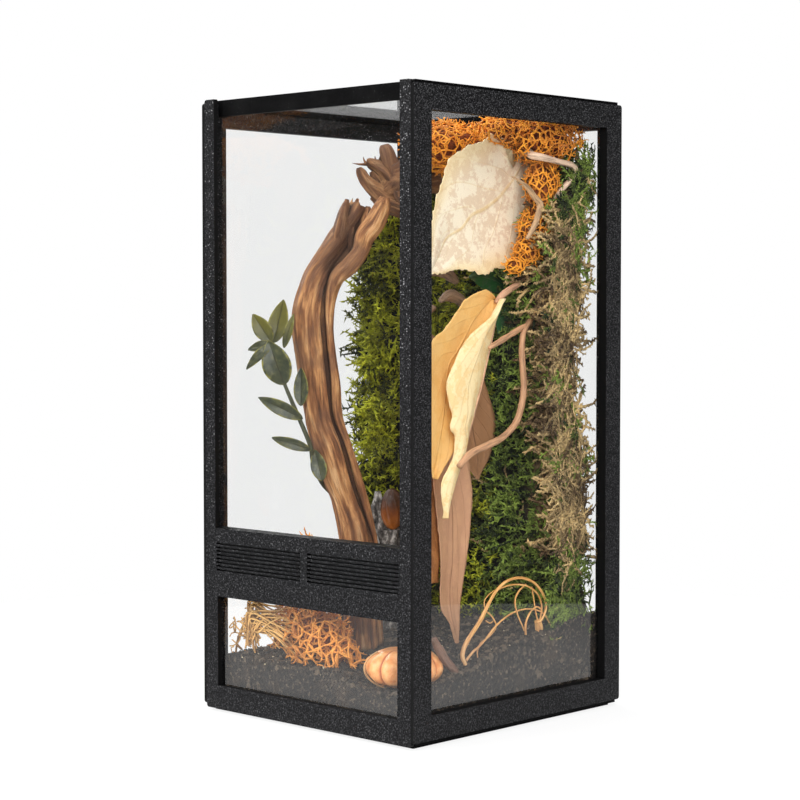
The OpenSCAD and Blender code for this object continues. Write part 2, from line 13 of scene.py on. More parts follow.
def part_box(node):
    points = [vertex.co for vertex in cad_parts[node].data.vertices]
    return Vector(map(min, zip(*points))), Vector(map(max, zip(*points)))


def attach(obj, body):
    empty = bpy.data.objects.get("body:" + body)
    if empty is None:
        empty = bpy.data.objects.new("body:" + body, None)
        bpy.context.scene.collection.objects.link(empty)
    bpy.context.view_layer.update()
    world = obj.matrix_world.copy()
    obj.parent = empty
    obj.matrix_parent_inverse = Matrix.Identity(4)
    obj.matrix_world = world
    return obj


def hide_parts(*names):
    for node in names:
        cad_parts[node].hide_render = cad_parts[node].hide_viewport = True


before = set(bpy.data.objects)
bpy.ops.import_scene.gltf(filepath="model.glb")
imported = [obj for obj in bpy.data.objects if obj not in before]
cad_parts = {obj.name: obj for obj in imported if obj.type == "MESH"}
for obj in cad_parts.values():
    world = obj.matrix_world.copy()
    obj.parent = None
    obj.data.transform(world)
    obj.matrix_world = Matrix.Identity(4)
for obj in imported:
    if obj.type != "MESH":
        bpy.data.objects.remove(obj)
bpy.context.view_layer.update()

bl_info = {
    "name": "Reptile terrarium",
    "version": (1, 0, 0),
    "blender": (4, 5, 0),
    "location": "3D View > Sidebar > Terrarium",
    "description": "Builds the finishes and the planting of a small upright terrarium",
    "category": "Add Mesh",
}

# Pieces are modelled in millimetres and scaled to metres when they are finished
MM = 0.001
BODY = "enclosure"
# Across the front corner that the camera faces, from left to right
ACROSS = Vector((0.7235, 0.6903, 0))
# Towards that corner
FRONT = Vector((0.69, -0.72, 0))
UP, RIGHT = Vector((0, 0, 1)), Vector((1, 0, 0))


def node_box(name):
    """Lowest and highest corner of a CAD node, in millimetres."""
    low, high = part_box(name)
    return low / MM, high / MM


ROOM_X = node_box("right_sheet")[0].x
ROOM_FRONT = node_box("right_sheet")[0].y
ROOM_BACK = node_box("back_sheet")[0].y
ROOM_TOP = node_box("lid_sheet")[0].z
# What is planted keeps this far from the clear sheets
CLEAR = 0.25


# ---- colours and finishes ----
def shade(red, green, blue):
    """A colour given as it looks on a screen, 0 to 255, as the renderer's linear values."""
    def linear(value):
        share = value / 255
        return share / 12.92 if share <= 0.04045 else ((share + 0.055) / 1.055) ** 2.4
    return (linear(red), linear(green), linear(blue))


def solid(colour):
    return (*colour, 1)


class Nodes:
    """The nodes of a finish or of the surroundings, and short ways to add to them."""

    def __init__(self, owner):
        owner.use_nodes = True
        self.tree = owner.node_tree

    def add(self, kind, inputs=None, **settings):
        made = self.tree.nodes.new("ShaderNode" + kind)
        for key, value in settings.items():
            setattr(made, key, value)
        for key, value in (inputs or {}).items():
            if isinstance(value, bpy.types.NodeSocket):
                self.tree.links.new(value, made.inputs[key])
            else:
                made.inputs[key].default_value = value
        return made

    def maths(self, operation, a, b=0.0):
        return self.add("Math", {0: a, 1: b}, operation=operation).outputs[0]

    def plus(self, a, b):
        return self.maths("ADD", a, b)

    def minus(self, a, b):
        return self.maths("SUBTRACT", a, b)

    def times(self, a, b):
        return self.maths("MULTIPLY", a, b)

    def most(self, a, b):
        return self.maths("MAXIMUM", a, b)

    def size(self, a):
        return self.maths("ABSOLUTE", a)

    def split(self, vector):
        return self.add("SeparateXYZ", {0: vector}).outputs

    def steps(self, value, low, high):
        """0 at low, 1 at high, smooth between."""
        made = self.add("MapRange", {"Value": value, "From Min": low, "From Max": high},
                        interpolation_type="SMOOTHSTEP")
        return made.outputs["Result"]

    def blended(self, share, a, b):
        """Two shaders, the second by its share."""
        return self.add("MixShader", {0: share, 1: a.outputs[0], 2: b.outputs[0]})


class Finish(Nodes):
    """One material. Lengths are given in millimetres, colours as linear values."""

    def __init__(self, name, **values):
        self.material = bpy.data.materials.new(name)
        super().__init__(self.material)
        self.shader = self.tree.nodes["Principled BSDF"]
        self.place = self.add("TexCoord").outputs["Object"]
        for socket, value in values.items():
            self.shader.inputs[socket.replace("_", " ")].default_value = value

    def run(self):
        """Place on a round piece or a blade, measured along it."""
        return self.add("Attribute", attribute_name="run").outputs["Vector"]

    def value(self, name):
        return self.add("Attribute", attribute_name=name).outputs["Fac"]

    def height(self):
        return self.split(self.place)["Z"]

    def facing(self, axis):
        return self.split(self.add("TexCoord").outputs["Normal"])[axis]

    def grain(self, size, detail=3, stretch=(1, 1, 1), place=None, rough=0.55, bend=0):
        """Soft noise with features of a size, drawn out by stretch."""
        scale = [1 / (size * MM * s) for s in stretch]
        mapped = self.add("Mapping", {"Vector": place or self.place, "Scale": scale})
        made = self.add("TexNoise", {"Vector": mapped.outputs[0], "Scale": 1, "Detail": detail,
                                     "Roughness": rough, "Distortion": bend})
        return made.outputs["Fac"]

    def ramp(self, value, *stops):
        """A colour for each value; stops are (value, colour)."""
        made = self.add("ValToRGB", {"Fac": value})
        band = made.color_ramp.elements
        while len(band) < len(stops):
            band.new(0.5)
        for element, (at, colour) in zip(band, stops):
            element.position = at
            element.color = solid(colour)
        return made.outputs["Color"]

    def mix(self, share, a, b, blend="MIX"):
        a, b = (c if isinstance(c, bpy.types.NodeSocket) else solid(c) for c in (a, b))
        made = self.add("Mix", {0: share, 6: a, 7: b}, data_type="RGBA", blend_type=blend)
        return made.outputs[2]

    def colour(self, socket):
        self.tree.links.new(socket, self.shader.inputs["Base Color"])

    def bump(self, height, depth, strength=1.0):
        """Relief of a depth; gives the material back."""
        made = self.add("Bump", {"Height": height, "Distance": depth * MM, "Strength": strength})
        self.tree.links.new(made.outputs["Normal"], self.shader.inputs["Normal"])
        return self.material

    def surface(self, shader):
        """Another shader in place of the usual one; gives the material back."""
        output = self.tree.nodes["Material Output"]
        self.tree.links.new(shader.outputs[0], output.inputs["Surface"])
        return self.material


# ---- shapes ----
# Stations in each span of a smooth line
SPAN_STEPS = 12
# Thickness of a dried blade
BLADE = 0.3


def spline(points, steps):
    """A smooth line through points of any width, steps to each span."""
    last = len(points) - 1
    found = []
    for i in range(last):
        a, b, c, d = (Vector(points[min(max(i + k, 0), last)]) for k in (-1, 0, 1, 2))
        for k in range(steps):
            t = k / steps
            found.append(0.5 * (2 * b + (c - a) * t + (2 * a - 5 * b + 4 * c - d) * t * t
                                + (3 * b - a - 3 * c + d) * t * t * t))
    found.append(Vector(points[last]))
    return found


def stations(route, count):
    """count + 1 even stations (place, radius) along a route of [x, y, z, radius]."""
    line = spline(route, SPAN_STEPS)
    reach = [0.0]
    for a, b in zip(line, line[1:]):
        reach.append(reach[-1] + (b.xyz - a.xyz).length)
    found = []
    k = 0
    for i in range(count + 1):
        want = reach[-1] * i / count
        while k < len(reach) - 2 and reach[k + 1] < want:
            k += 1
        span = max(reach[k + 1] - reach[k], 1e-9)
        spot = line[k].lerp(line[k + 1], min(max((want - reach[k]) / span, 0), 1))
        found.append((spot.xyz, spot.w))
    return found, reach[-1]


def smooth(value):
    value = min(max(value, 0), 1)
    return value * value * (3 - 2 * value)


def bell(value, width):
    return math.exp(-(value / width) ** 2)


def turn_gap(a, b):
    """Shortest way from one angle to another."""
    return abs((a - b + math.pi) % (2 * math.pi) - math.pi)


def run_layer(bm):
    """Where each corner notes its place along the piece, for grain and veins."""
    return bm.verts.layers.float_vector.get("run") or bm.verts.layers.float_vector.new("run")


def rims(bm):
    return [e for e in bm.edges if e.is_boundary]


def skirt(bm):
    """New corners all round an open sheet's rim, still to be moved."""
    made = bmesh.ops.extrude_edge_only(bm, edges=rims(bm))["geom"]
    return [v for v in made if isinstance(v, bmesh.types.BMVert)]


def close_up(bm):
    """Fills what is open and turns all faces outwards."""
    bmesh.ops.holes_fill(bm, edges=rims(bm), sides=0)
    bmesh.ops.recalc_face_normals(bm, faces=bm.faces)


def thicken(bm, verts, thickness):
    """Gives a one-sided sheet its thickness."""
    faces = list(dict.fromkeys(f for v in verts if v.is_valid for f in v.link_faces))
    bmesh.ops.recalc_face_normals(bm, faces=faces)
    bmesh.ops.solidify(bm, geom=faces, thickness=thickness)


def wrap(bm, route, sides, rings, form=None, ref=ACROSS):
    """A closed round solid along a route. form(angle, along, place) gives its radius share and a
    shift along the route; angle 0 points along ref and 270 degrees faces the front corner."""
    spots, length = stations(route, rings)
    layer = run_layer(bm)
    sunk = bm.verts.layers.float.get("sunk") or bm.verts.layers.float.new("sunk")
    grid = bmesh.ops.create_grid(bm, x_segments=sides, y_segments=rings, size=1)["verts"]
    for v in grid:
        turn, along = (v.co.x + 1) / 2, (v.co.y + 1) / 2
        i = min(round(along * rings), rings)
        place, radius = spots[i]
        ahead = (spots[min(i + 1, rings)][0] - spots[max(i - 1, 0)][0]).normalized()
        a = (ref - ahead * ref.dot(ahead)).normalized()
        b = ahead.cross(a)
        angle = 2 * math.pi * turn
        share, shift = form(angle, along, place) if form else (1, 0)
        out = a * math.cos(angle) + b * math.sin(angle)
        v.co = place + out * radius * share + ahead * shift
        v[layer] = (radius * math.cos(angle) * MM, radius * math.sin(angle) * MM,
                    along * length * MM)
        v[sunk] = 1 - share
    bmesh.ops.remove_doubles(bm, verts=grid, dist=1e-4)
    close_up(bm)


def grooves(depth, spread=2.2, run=26, seed=0):
    """Wood grain as a radius share: ridges that follow the route and waver slowly."""
    def form(angle, along, place):
        at = Vector((math.cos(angle) * spread, math.sin(angle) * spread, place.z / run + seed))
        fine = noise.noise(at * 2.7)
        return 1 + depth * (noise.noise(at) + 0.5 * fine - 0.4 * abs(noise.noise(at * 4.3))), 0
    return form


def leaf_sheet(bm, edge_a, edge_b, across, along, lift, ragged=0.25):
    """A thin blade between two edges of [x, y, z], from base to tip. lift(u, t) moves it in x;
    u runs from -1 to 1 over the blade, whose edges are ragged by so many millimetres."""
    layer = run_layer(bm)
    lines = [spline(edge, SPAN_STEPS) for edge in (edge_a, edge_b)]
    grid = bmesh.ops.create_grid(bm, x_segments=across, y_segments=along, size=1)["verts"]
    for v in grid:
        u, t = v.co.x, (v.co.y + 1) / 2
        pair = []
        for line in lines:
            at = t * (len(line) - 1)
            k = min(int(at), len(line) - 2)
            pair.append(line[k].lerp(line[k + 1], at - k))
        v.co = pair[0].lerp(pair[1], (u + 1) / 2)
        torn = ragged * abs(u) ** 6
        v.co.y += torn * (noise.noise(v.co * 0.55) + 0.6 * noise.noise(v.co * 1.7))
        v.co.z += torn * (noise.noise(v.co * 0.6 + Vector((9, 0, 0)))
                          + 0.6 * noise.noise(v.co * 1.9))
        v.co.x += lift(u, t)
        v[layer] = (u, t, 0)
    bmesh.ops.remove_doubles(bm, verts=grid, dist=0.01)
    thicken(bm, grid, BLADE)


def cone(bm, base, tip, low_r, high_r):
    """A three-sided spike."""
    axis = tip - base
    turn = axis.to_track_quat("Z", "Y").to_matrix().to_4x4()
    bmesh.ops.create_cone(bm, cap_ends=True, segments=3, radius1=low_r, radius2=high_r,
                          depth=axis.length, matrix=Matrix.Translation((base + tip) / 2) @ turn)


def strand_mesh(name, lines):
    """Thin round strands as one mesh; each line is a list of [x, y, z, radius]."""
    curve = bpy.data.curves.new(name, "CURVE")
    curve.dimensions = "3D"
    curve.bevel_depth = 1
    curve.bevel_resolution = 1
    curve.use_fill_caps = True
    for line in lines:
        one = curve.splines.new("POLY")
        one.points.add(len(line) - 1)
        one.points.foreach_set("co", [c for p in line for c in (p[0], p[1], p[2], 1)])
        one.points.foreach_set("radius", [p[3] for p in line])
        one.use_smooth = True
    holder = bpy.data.objects.new(name, curve)
    mesh = bpy.data.meshes.new_from_object(holder)
    bpy.data.objects.remove(holder)
    bpy.data.curves.remove(curve)
    mesh.name = name
    return mesh


def mesh_of(bm, name):
    mesh = bpy.data.meshes.new(name)
    bm.to_mesh(mesh)
    bm.free()
    return mesh


def pressed_in(corners, low, high, band=1.6):
    """Corners squeezed into a box: what would stick out lies ever closer to its sides."""
    for k, (least, most) in enumerate(zip(low, high)):
        over = np.maximum(corners[:, k] - (most - band), 0)
        under = np.maximum(least + band - corners[:, k], 0)
        inner = np.clip(corners[:, k], least + band, most - band)
        corners[:, k] = inner + band * (np.exp(-under / band) - np.exp(-over / band))
    return corners


def scatter(name, shapes, spots, limits):
    """Copies of small triangle shapes as one mesh. spots are (shape number, matrix); each copy has
    its own tone, 0 to 1. limits are the lowest and highest corner that it is pressed into."""
    rng = np.random.default_rng(len(spots))
    corners, faces, tones = [], [], []
    start = 0
    for number, shape in enumerate(shapes):
        places = np.array([np.array(m) for n, m in spots if n == number])
        if not len(places):
            continue
        co = np.zeros(len(shape.vertices) * 3)
        shape.vertices.foreach_get("co", co)
        co = co.reshape(-1, 3)
        tris = np.zeros(len(shape.polygons) * 3, int)
        shape.polygons.foreach_get("vertices", tris)
        moved = np.einsum("kij,nj->kni", places[:, :3, :3], co) + places[:, None, :3, 3]
        corners.append(moved.reshape(-1, 3))
        offset = start + np.arange(len(places))[:, None] * len(co)
        faces.append((tris[None, :] + offset).reshape(-1))
        tones.append(np.repeat(rng.random(len(places)), len(co)))
        start += len(places) * len(co)
    corners = pressed_in(np.concatenate(corners), *limits)
    faces = np.concatenate(faces)
    mesh = bpy.data.meshes.new(name)
    mesh.vertices.add(len(corners))
    mesh.vertices.foreach_set("co", corners.reshape(-1))
    mesh.loops.add(len(faces))
    mesh.loops.foreach_set("vertex_index", faces)
    mesh.polygons.add(len(faces) // 3)
    mesh.polygons.foreach_set("loop_start", np.arange(0, len(faces), 3))
    mesh.update(calc_edges=True)
    tone = mesh.attributes.new("tone", "FLOAT", "POINT")
    tone.data.foreach_set("value", np.concatenate(tones))
    return mesh


def finish_piece(name, made, material, nodes=(), flat=False):
    """Puts what was made in millimetres into the scene, on the enclosure, in place of CAD nodes."""
    mesh = mesh_of(made, name) if isinstance(made, bmesh.types.BMesh) else made
    mesh.transform(Matrix.Scale(MM, 4))
    if not flat:
        mesh.shade_smooth()
    mesh.materials.clear()
    mesh.materials.append(material)
    piece = bpy.data.objects.new(name, mesh)
    bpy.context.scene.collection.objects.link(piece)
    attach(piece, BODY)
    if nodes:
        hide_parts(*nodes)


def shaped_piece(shape, name, material, slot, nodes, *made):
    """A piece of several wraps or leaf sheets, each given by its arguments."""
    bm = bmesh.new()
    for one in made:
        shape(bm, *one)
    finish_piece(name, bm, material, nodes)


def repaint(node, material):
    """Gives a CAD node a new material."""
    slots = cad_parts[node].material_slots
    if not slots:
        raise RuntimeError(f"{node} has no material slot")
    for one in slots:
        one.material = material


def surface_of(node):
    """Corners of a CAD node's triangles in millimetres, with their normals and areas."""
    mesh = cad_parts[node].data
    mesh.calc_loop_triangles()
    found = []
    for tri in mesh.loop_triangles:
        a, b, c = (mesh.vertices[i].co / MM for i in tri.vertices)
        cross = (b - a).cross(c - a)
        if cross.length > 1e-6:
            found.append(((a, b, c), cross.normalized(), cross.length / 2))
    return found


def random_spots(rng, triangles, count):
    """count random (place, normal) on weighted triangles."""
    picks = rng.choices(triangles, weights=[t[2] for t in triangles], k=count)
    found = []
    for (a, b, c), normal, _ in picks:
        u, v = rng.random(), rng.random()
        if u + v > 1:
            u, v = 1 - u, 1 - v
        found.append((a + (b - a) * u + (c - a) * v, normal))
    return found


def random_way(rng):
    return Vector((rng.gauss(0, 1), rng.gauss(0, 1), rng.gauss(0, 1))).normalized()


# ---- settings ----
def colour_setting(name, description, red, green, blue):
    return FloatVectorProperty(name=name, description=description, subtype="COLOR", size=3,
                               min=0, max=1, default=shade(red, green, blue))


def length_setting(name, description, millimetres):
    return FloatProperty(name=name, description=description, unit="LENGTH", subtype="DISTANCE",
                         default=millimetres * MM, min=0.01 * MM, precision=5)


class CaseSettings(bpy.types.PropertyGroup):
    """Finish of the printed case and the clear sheets"""
    dark: colour_setting("Dark print", "Colour in the hollows of the textured print", 7, 7, 8)
    body: colour_setting("Print", "Main colour of the textured print", 25, 25, 27)
    # The speckle colour is a painted glint on the raised grains
    glint: colour_setting("Speckle", "Colour of the raised grains", 150, 150, 152)
    smooth_print: colour_setting("Smooth print", "Colour of printed side walls", 9, 9, 10)
    grain: length_setting("Grain", "Distance between the grains of the texture", 0.62)
    layer: length_setting("Layer", "Height of one printed layer", 0.28)
    mirror: FloatProperty(name="Sheet index", description="Refractive index of the clear sheets",
                          default=1.74, min=1.3, max=1.9)


class SoilSettings(bpy.types.PropertyGroup):
    """Soil and its crumbs"""
    dark: colour_setting("Dark soil", "Colour of wet crumbs", 9, 8, 7)
    light: colour_setting("Light soil", "Colour of dry crumbs", 150, 130, 108)
    speck: colour_setting("Specks", "Colour of the pale grains", 236, 220, 184)
    crumbs: IntProperty(name="Crumbs", description="Number of loose crumbs", default=8500, min=0)
    crumb: length_setting("Crumb", "Width of a crumb", 2.3)


class MossSettings(bpy.types.PropertyGroup):
    """Sheet moss on the back wall"""
    # Partly painted light: the moss to the left is coloured as it looks where it is lit
    fresh: colour_setting("Fresh", "Colour of moss in the light", 170, 174, 40)
    green: colour_setting("Green", "Colour of moss by the right wall", 122, 142, 56)
    dry: colour_setting("Dry", "Colour of dried stems", 192, 164, 114)
    # Painted shade: the colour inside the mat is kept dark for the shade between the fronds
    deep: colour_setting("Deep", "Colour inside the mat", 26, 27, 12)
    fronds: IntProperty(name="Fronds", description="Number of fronds", default=6600, min=0)
    frond: length_setting("Frond", "Length of a frond", 10)


class WoodSettings(bpy.types.PropertyGroup):
    """Driftwood"""
    light: colour_setting("Light wood", "Colour of worn ridges", 204, 148, 94)
    mid: colour_setting("Wood", "Main colour of the wood", 146, 94, 56)
    # Painted shade: this colour goes into cracks and hollows by occlusion
    dark: colour_setting("Dark wood", "Colour in cracks and hollows", 52, 32, 21)
    groove: FloatProperty(name="Groove depth",
                          description="Depth of the grain, as a share of radius", default=0.13,
                          min=0, max=0.4)


class LeafSettings(bpy.types.PropertyGroup):
    """Leaves and stems"""
    pale: colour_setting("Pale leaf", "Colour of the large dried leaf", 251, 238, 212)
    blotch: colour_setting("Blotches", "Colour of its blotches", 231, 206, 176)
    amber: colour_setting("Amber leaf", "Colour of the folded leaf", 244, 196, 120)
    tan: colour_setting("Tan leaf", "Colour of the strip leaf", 194, 146, 112)
    brown: colour_setting("Brown leaf", "Colour of the small dried leaf", 158, 114, 78)
    olive: colour_setting("Sprig", "Colour of the sprig's leaves", 66, 70, 47)
    rim: colour_setting("Sprig rim", "Colour at the edge of the sprig's leaves", 142, 136, 52)
    stem: colour_setting("Stem", "Colour of the dried stems", 190, 144, 108)


class LichenSettings(bpy.types.PropertyGroup):
    """Lichen, pod and tendrils"""
    orange: colour_setting("Orange", "Colour of the dyed lichen", 250, 164, 44)
    # Rust is also the painted shade laid deep in the orange lichen
    rust: colour_setting("Rust", "Colour deep in the lichen", 160, 84, 38)
    straw: colour_setting("Straw", "Colour of the stringy lichen", 226, 178, 106)
    pod: colour_setting("Pod", "Colour of the dried pod", 246, 174, 108)
    strand: length_setting("Strand", "Thickness of a lichen strand", 0.42)


class StageSettings(bpy.types.PropertyGroup):
    """Floor, light and camera"""
    floor_radius: length_setting("Floor", "Radius of the pale floor", 298)
    lens: FloatProperty(name="Lens", description="Focal length of the camera", default=92.05,
                        min=20, max=200, unit="CAMERA")
    key: FloatProperty(name="Key light", description="Power of the main lamp", default=7,
                       min=0, unit="POWER")


SETTINGS = {
    "terrarium_case": CaseSettings, "terrarium_soil": SoilSettings, "terrarium_moss": MossSettings,
    "terrarium_wood": WoodSettings, "terrarium_leaf": LeafSettings,
    "terrarium_lichen": LichenSettings, "terrarium_stage": StageSettings,
}


class BuildStep(bpy.types.Operator):
    """One step of the terrarium"""
    bl_idname = "terrarium.step"
    bl_label = "Step"
    bl_options = {"REGISTER", "UNDO"}


# ---- case ----
class TERRARIUM_OT_case(BuildStep):
    """Finish the printed panels, the tray, the lid plate and the gauze"""
    bl_idname = "terrarium.case"
    bl_label = "Printed case"

    def execute(self, context):
        setting = context.scene.terrarium_case
        for node, axis in (("left_panel", "X"), ("right_panel", "X"), ("back_panel", "Y"),
                           ("front_panel", "Y")):
            repaint(node, self.textured_print(f"textured_print_{node}", setting, axis))
        smooth_print = self.smooth_print("smooth_print", setting)
        for node in ("base_tray", "lid_plate"):
            repaint(node, smooth_print)
        repaint("vent_gauze", self.gauze(setting))
        return {"FINISHED"}

    def textured_print(self, name, setting, axis):
        """Grains as a textured print plate leaves them on the flat face, with painted glints on the
        grains that grow stronger higher up; layer lines elsewhere.
        """
        finish = Finish(name, Roughness=0.6, Specular_IOR_Level=0.14)
        size = setting.grain / MM
        grains = finish.grain(size * 0.8, detail=2, rough=0.6)
        cell = finish.add("TexVoronoi", {"Vector": finish.place, "Scale": 1 / setting.grain})
        luck = finish.split(cell.outputs["Color"])["X"]
        size_of = finish.times(finish.maths("POWER", luck, 1.6), 0.5)
        # Painted glints: small grains of the speckle colour stand in for light caught on the raised
        # grains, stronger higher up
        glint_grains = finish.steps(finish.minus(size_of, cell.outputs["Distance"]), 0.0, 0.3)
        face = finish.ramp(grains, (0.38, setting.dark), (0.55, setting.body),
                           (0.7, shade(66, 66, 68)))
        glint_by_height = finish.add("MapRange", {"Value": finish.height(), "From Min": 0.05,
                                        "From Max": 0.13, "To Min": 0.26, "To Max": 0.9}).outputs[0]
        face = finish.mix(finish.times(glint_grains, glint_by_height), face, setting.glint)
        normal = finish.facing(axis)
        flat = finish.maths("GREATER_THAN", finish.size(normal), 0.6)
        lines = self.layer_lines(finish, setting)
        side = finish.ramp(finish.grain(3, detail=4), (0.3, setting.smooth_print),
                           (0.8, setting.dark))
        finish.colour(finish.mix(flat, side, face))
        relief = finish.times(finish.minus(1, flat), lines)
        relief = finish.plus(relief, finish.times(flat, grains))
        return finish.bump(relief, 0.16, 0.9)

    def layer_lines(self, finish, setting):
        height = finish.height()
        wave = finish.maths("SINE", finish.times(height, 2 * math.pi / setting.layer))
        return finish.plus(finish.times(wave, 0.25), 0.5)

    def smooth_print(self, name, setting):
        finish = Finish(name, Roughness=0.6, Specular_IOR_Level=0.04)
        grains = finish.grain(setting.grain / MM * 1.6, detail=3)
        finish.colour(finish.ramp(grains, (0.35, setting.smooth_print), (0.7, setting.dark)))
        return finish.bump(finish.plus(self.layer_lines(finish, setting), grains), 0.14, 0.9)

    def gauze(self, setting):
        finish = Finish("gauze", Roughness=0.9)
        place = finish.split(finish.place)
        pitch = 0.4 * MM
        threads = [finish.maths("SINE", finish.times(place[axis], 2 * math.pi / pitch))
                   for axis in ("X", "Z")]
        weave = finish.times(threads[0], threads[1])
        # Painted light: the gauze's grey is raised for the light that hardly reaches it behind the
        # slots
        finish.colour(finish.ramp(weave, (0, shade(96, 96, 97)), (1, shade(150, 150, 152))))
        return finish.bump(weave, 0.1)


class TERRARIUM_OT_sheets(BuildStep):
    """Finish the clear sheets, the sliding door and the clear lid"""
    bl_idname = "terrarium.sheets"
    bl_label = "Clear sheets"

    # Refractive index of the lid's sheet, and share of the dust film where it is thickest
    LID_INDEX = 1.49
    DUST = 0.004

    def execute(self, context):
        clear = self.clear_sheet(context.scene.terrarium_case.mirror)
        for node in ("left_sheet", "right_sheet", "back_sheet", "low_front_sheet", "sliding_door"):
            repaint(node, clear)
        repaint("lid_sheet", self.bending_sheet())
        return {"FINISHED"}

    def bending_sheet(self):
        """The lid is seen along its face, where the bending of light shows; lamps pass through."""
        finish = Finish("clear_lid")
        finish.tree.nodes.remove(finish.shader)
        bent = finish.add("BsdfRefraction", {"Roughness": 0.0, "IOR": self.LID_INDEX})
        mirror = finish.add("BsdfGlossy", {"Roughness": 0.01})
        share = finish.add("Fresnel", {"IOR": self.LID_INDEX}).outputs[0]
        path = finish.add("LightPath").outputs
        lit = finish.most(path["Is Shadow Ray"], path["Is Diffuse Ray"])
        sheet = finish.blended(share, bent, mirror)
        return finish.surface(finish.blended(lit, sheet, finish.add("BsdfTransparent")))

    def clear_sheet(self, index):
        """Clear faces that mirror more at a low angle, with a faint film of dust."""
        finish = Finish("clear_sheet")
        finish.tree.nodes.remove(finish.shader)
        through = finish.add("BsdfTransparent", {"Color": solid((0.998, 1.0, 0.999))})
        mirror = finish.add("BsdfGlossy", {"Roughness": 0.015})
        # Only the face that a ray meets first mirrors, because rays pass straight through a sheet
        front = finish.minus(1, finish.add("NewGeometry").outputs["Backfacing"])
        share = finish.times(finish.add("Fresnel", {"IOR": index}).outputs[0], front)
        film = finish.add("BsdfDiffuse", {"Color": solid(shade(225, 225, 222))})
        dust = finish.times(finish.steps(finish.grain(9, detail=5), 0.45, 0.8), self.DUST)
        return finish.surface(finish.blended(dust, finish.blended(share, through, mirror), film))


# ---- soil ----
class TERRARIUM_OT_soil(BuildStep):
    """Build the soil with its loose crumbs and pale specks"""
    bl_idname = "terrarium.soil"
    bl_label = "Soil"

    # Different crumbs, number of pale specks, and steps across the bed
    SHAPES, SPECKS, BED_STEPS = 8, 1500, 110
    # The soil's top lies above this height
    TOP_FROM = 8
    # The bed's lumps: how many to a millimetre, and how high
    LUMPS = ((0.16, 1.2), (0.5, 1.1), (1.3, 0.7))

    def execute(self, context):
        setting = context.scene.terrarium_soil
        rng = random.Random(11)
        low, high = node_box("soil")
        earth = self.earth(setting)
        finish_piece("soil_bed", self.bed(low, high), earth, ["soil"])
        faces = [t for t in surface_of("soil")
                 if t[0][0].z > self.TOP_FROM and t[1].z > -0.2]
        crumbs = [self.crumb(random.Random(k)) for k in range(self.SHAPES)]
        spots = []
        size = setting.crumb / MM
        for place, normal in random_spots(rng, faces, setting.crumbs):
            scale = size * rng.uniform(0.35, 1.25) ** 1.5
            turn = Matrix.Rotation(rng.uniform(0, 6.3), 4, random_way(rng))
            spots.append((rng.randrange(self.SHAPES),
                          Matrix.Translation(place - normal * 0.1) @ turn @ Matrix.Scale(scale, 4)))
        inside = [(-ROOM_X + 0.05, low.y - 0.05, low.z - 2),
                  (ROOM_X - 0.05, ROOM_BACK - 0.1, high.z + 4)]
        mesh = scatter("soil_crumbs", crumbs, spots, inside)
        finish_piece("soil_crumbs", mesh, earth, flat=True)
        specks = []
        for place, normal in random_spots(rng, faces, self.SPECKS):
            number, size = rng.randrange(self.SHAPES), rng.uniform(0.2, 0.62)
            stood = Matrix.Translation(place + normal * 0.3) @ Matrix.Scale(size, 4)
            specks.append((number, stood))
        mesh = scatter("soil_specks", crumbs, specks, inside)
        pale = Finish("pale_speck", Roughness=0.7)
        pale.colour(pale.ramp(pale.value("tone"), (0, shade(120, 104, 80)),
                              (1, setting.speck)))
        finish_piece("soil_specks", mesh, pale.material, flat=True)
        return {"FINISHED"}

    def crumb(self, rng):
        bm = bmesh.new()
        bmesh.ops.create_icosphere(bm, subdivisions=1, radius=0.5)
        for v in bm.verts:
            v.co *= rng.uniform(0.65, 1.25)
        return mesh_of(bm, "crumb")

    def bed(self, low, high):
        """A block whose top follows the CAD soil, with a crumbly surface."""
        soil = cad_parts["soil"]
        bm = bmesh.new()
        steps = self.BED_STEPS
        grid = bmesh.ops.create_grid(bm, x_segments=steps, y_segments=steps, size=1)["verts"]
        half = (high - low) / 2 - Vector((0.3, 0.15, 0))
        middle = (high + low) / 2 + Vector((0, 0.15, 0))
        for v in grid:
            x, y = middle.x + v.co.x * half.x, middle.y + v.co.y * half.y
            inner = Vector((x * 0.999, middle.y + v.co.y * half.y * 0.999, high.z + 5)) * MM
            hit, spot, _, _ = soil.ray_cast(inner, Vector((0, 0, -1)))
            if not hit:
                raise RuntimeError("the soil's top can't be found")
            at = Vector((x, y, 0))
            rough = sum(noise.noise(at * often) * tall for often, tall in self.LUMPS)
            v.co = (x, y, spot.z / MM - 0.35 + rough)
        for v in skirt(bm):
            v.co.z = low.z
        close_up(bm)
        return bm

    def earth(self, setting):
        finish = Finish("earth", Roughness=0.88)
        lumps = finish.grain(1.1, detail=6, rough=0.7)
        broad = finish.grain(8, detail=3)
        base = finish.ramp(lumps, (0.36, setting.dark), (0.55, shade(40, 34, 30)),
                           (0.76, setting.light))
        base = finish.mix(finish.steps(broad, 0.5, 0.75), base, shade(58, 46, 34), "LIGHTEN")
        tone = finish.value("tone")
        finish.colour(finish.mix(finish.steps(tone, 0.5, 1.3), base, shade(122, 106, 88)))
        return finish.bump(lumps, 0.7)


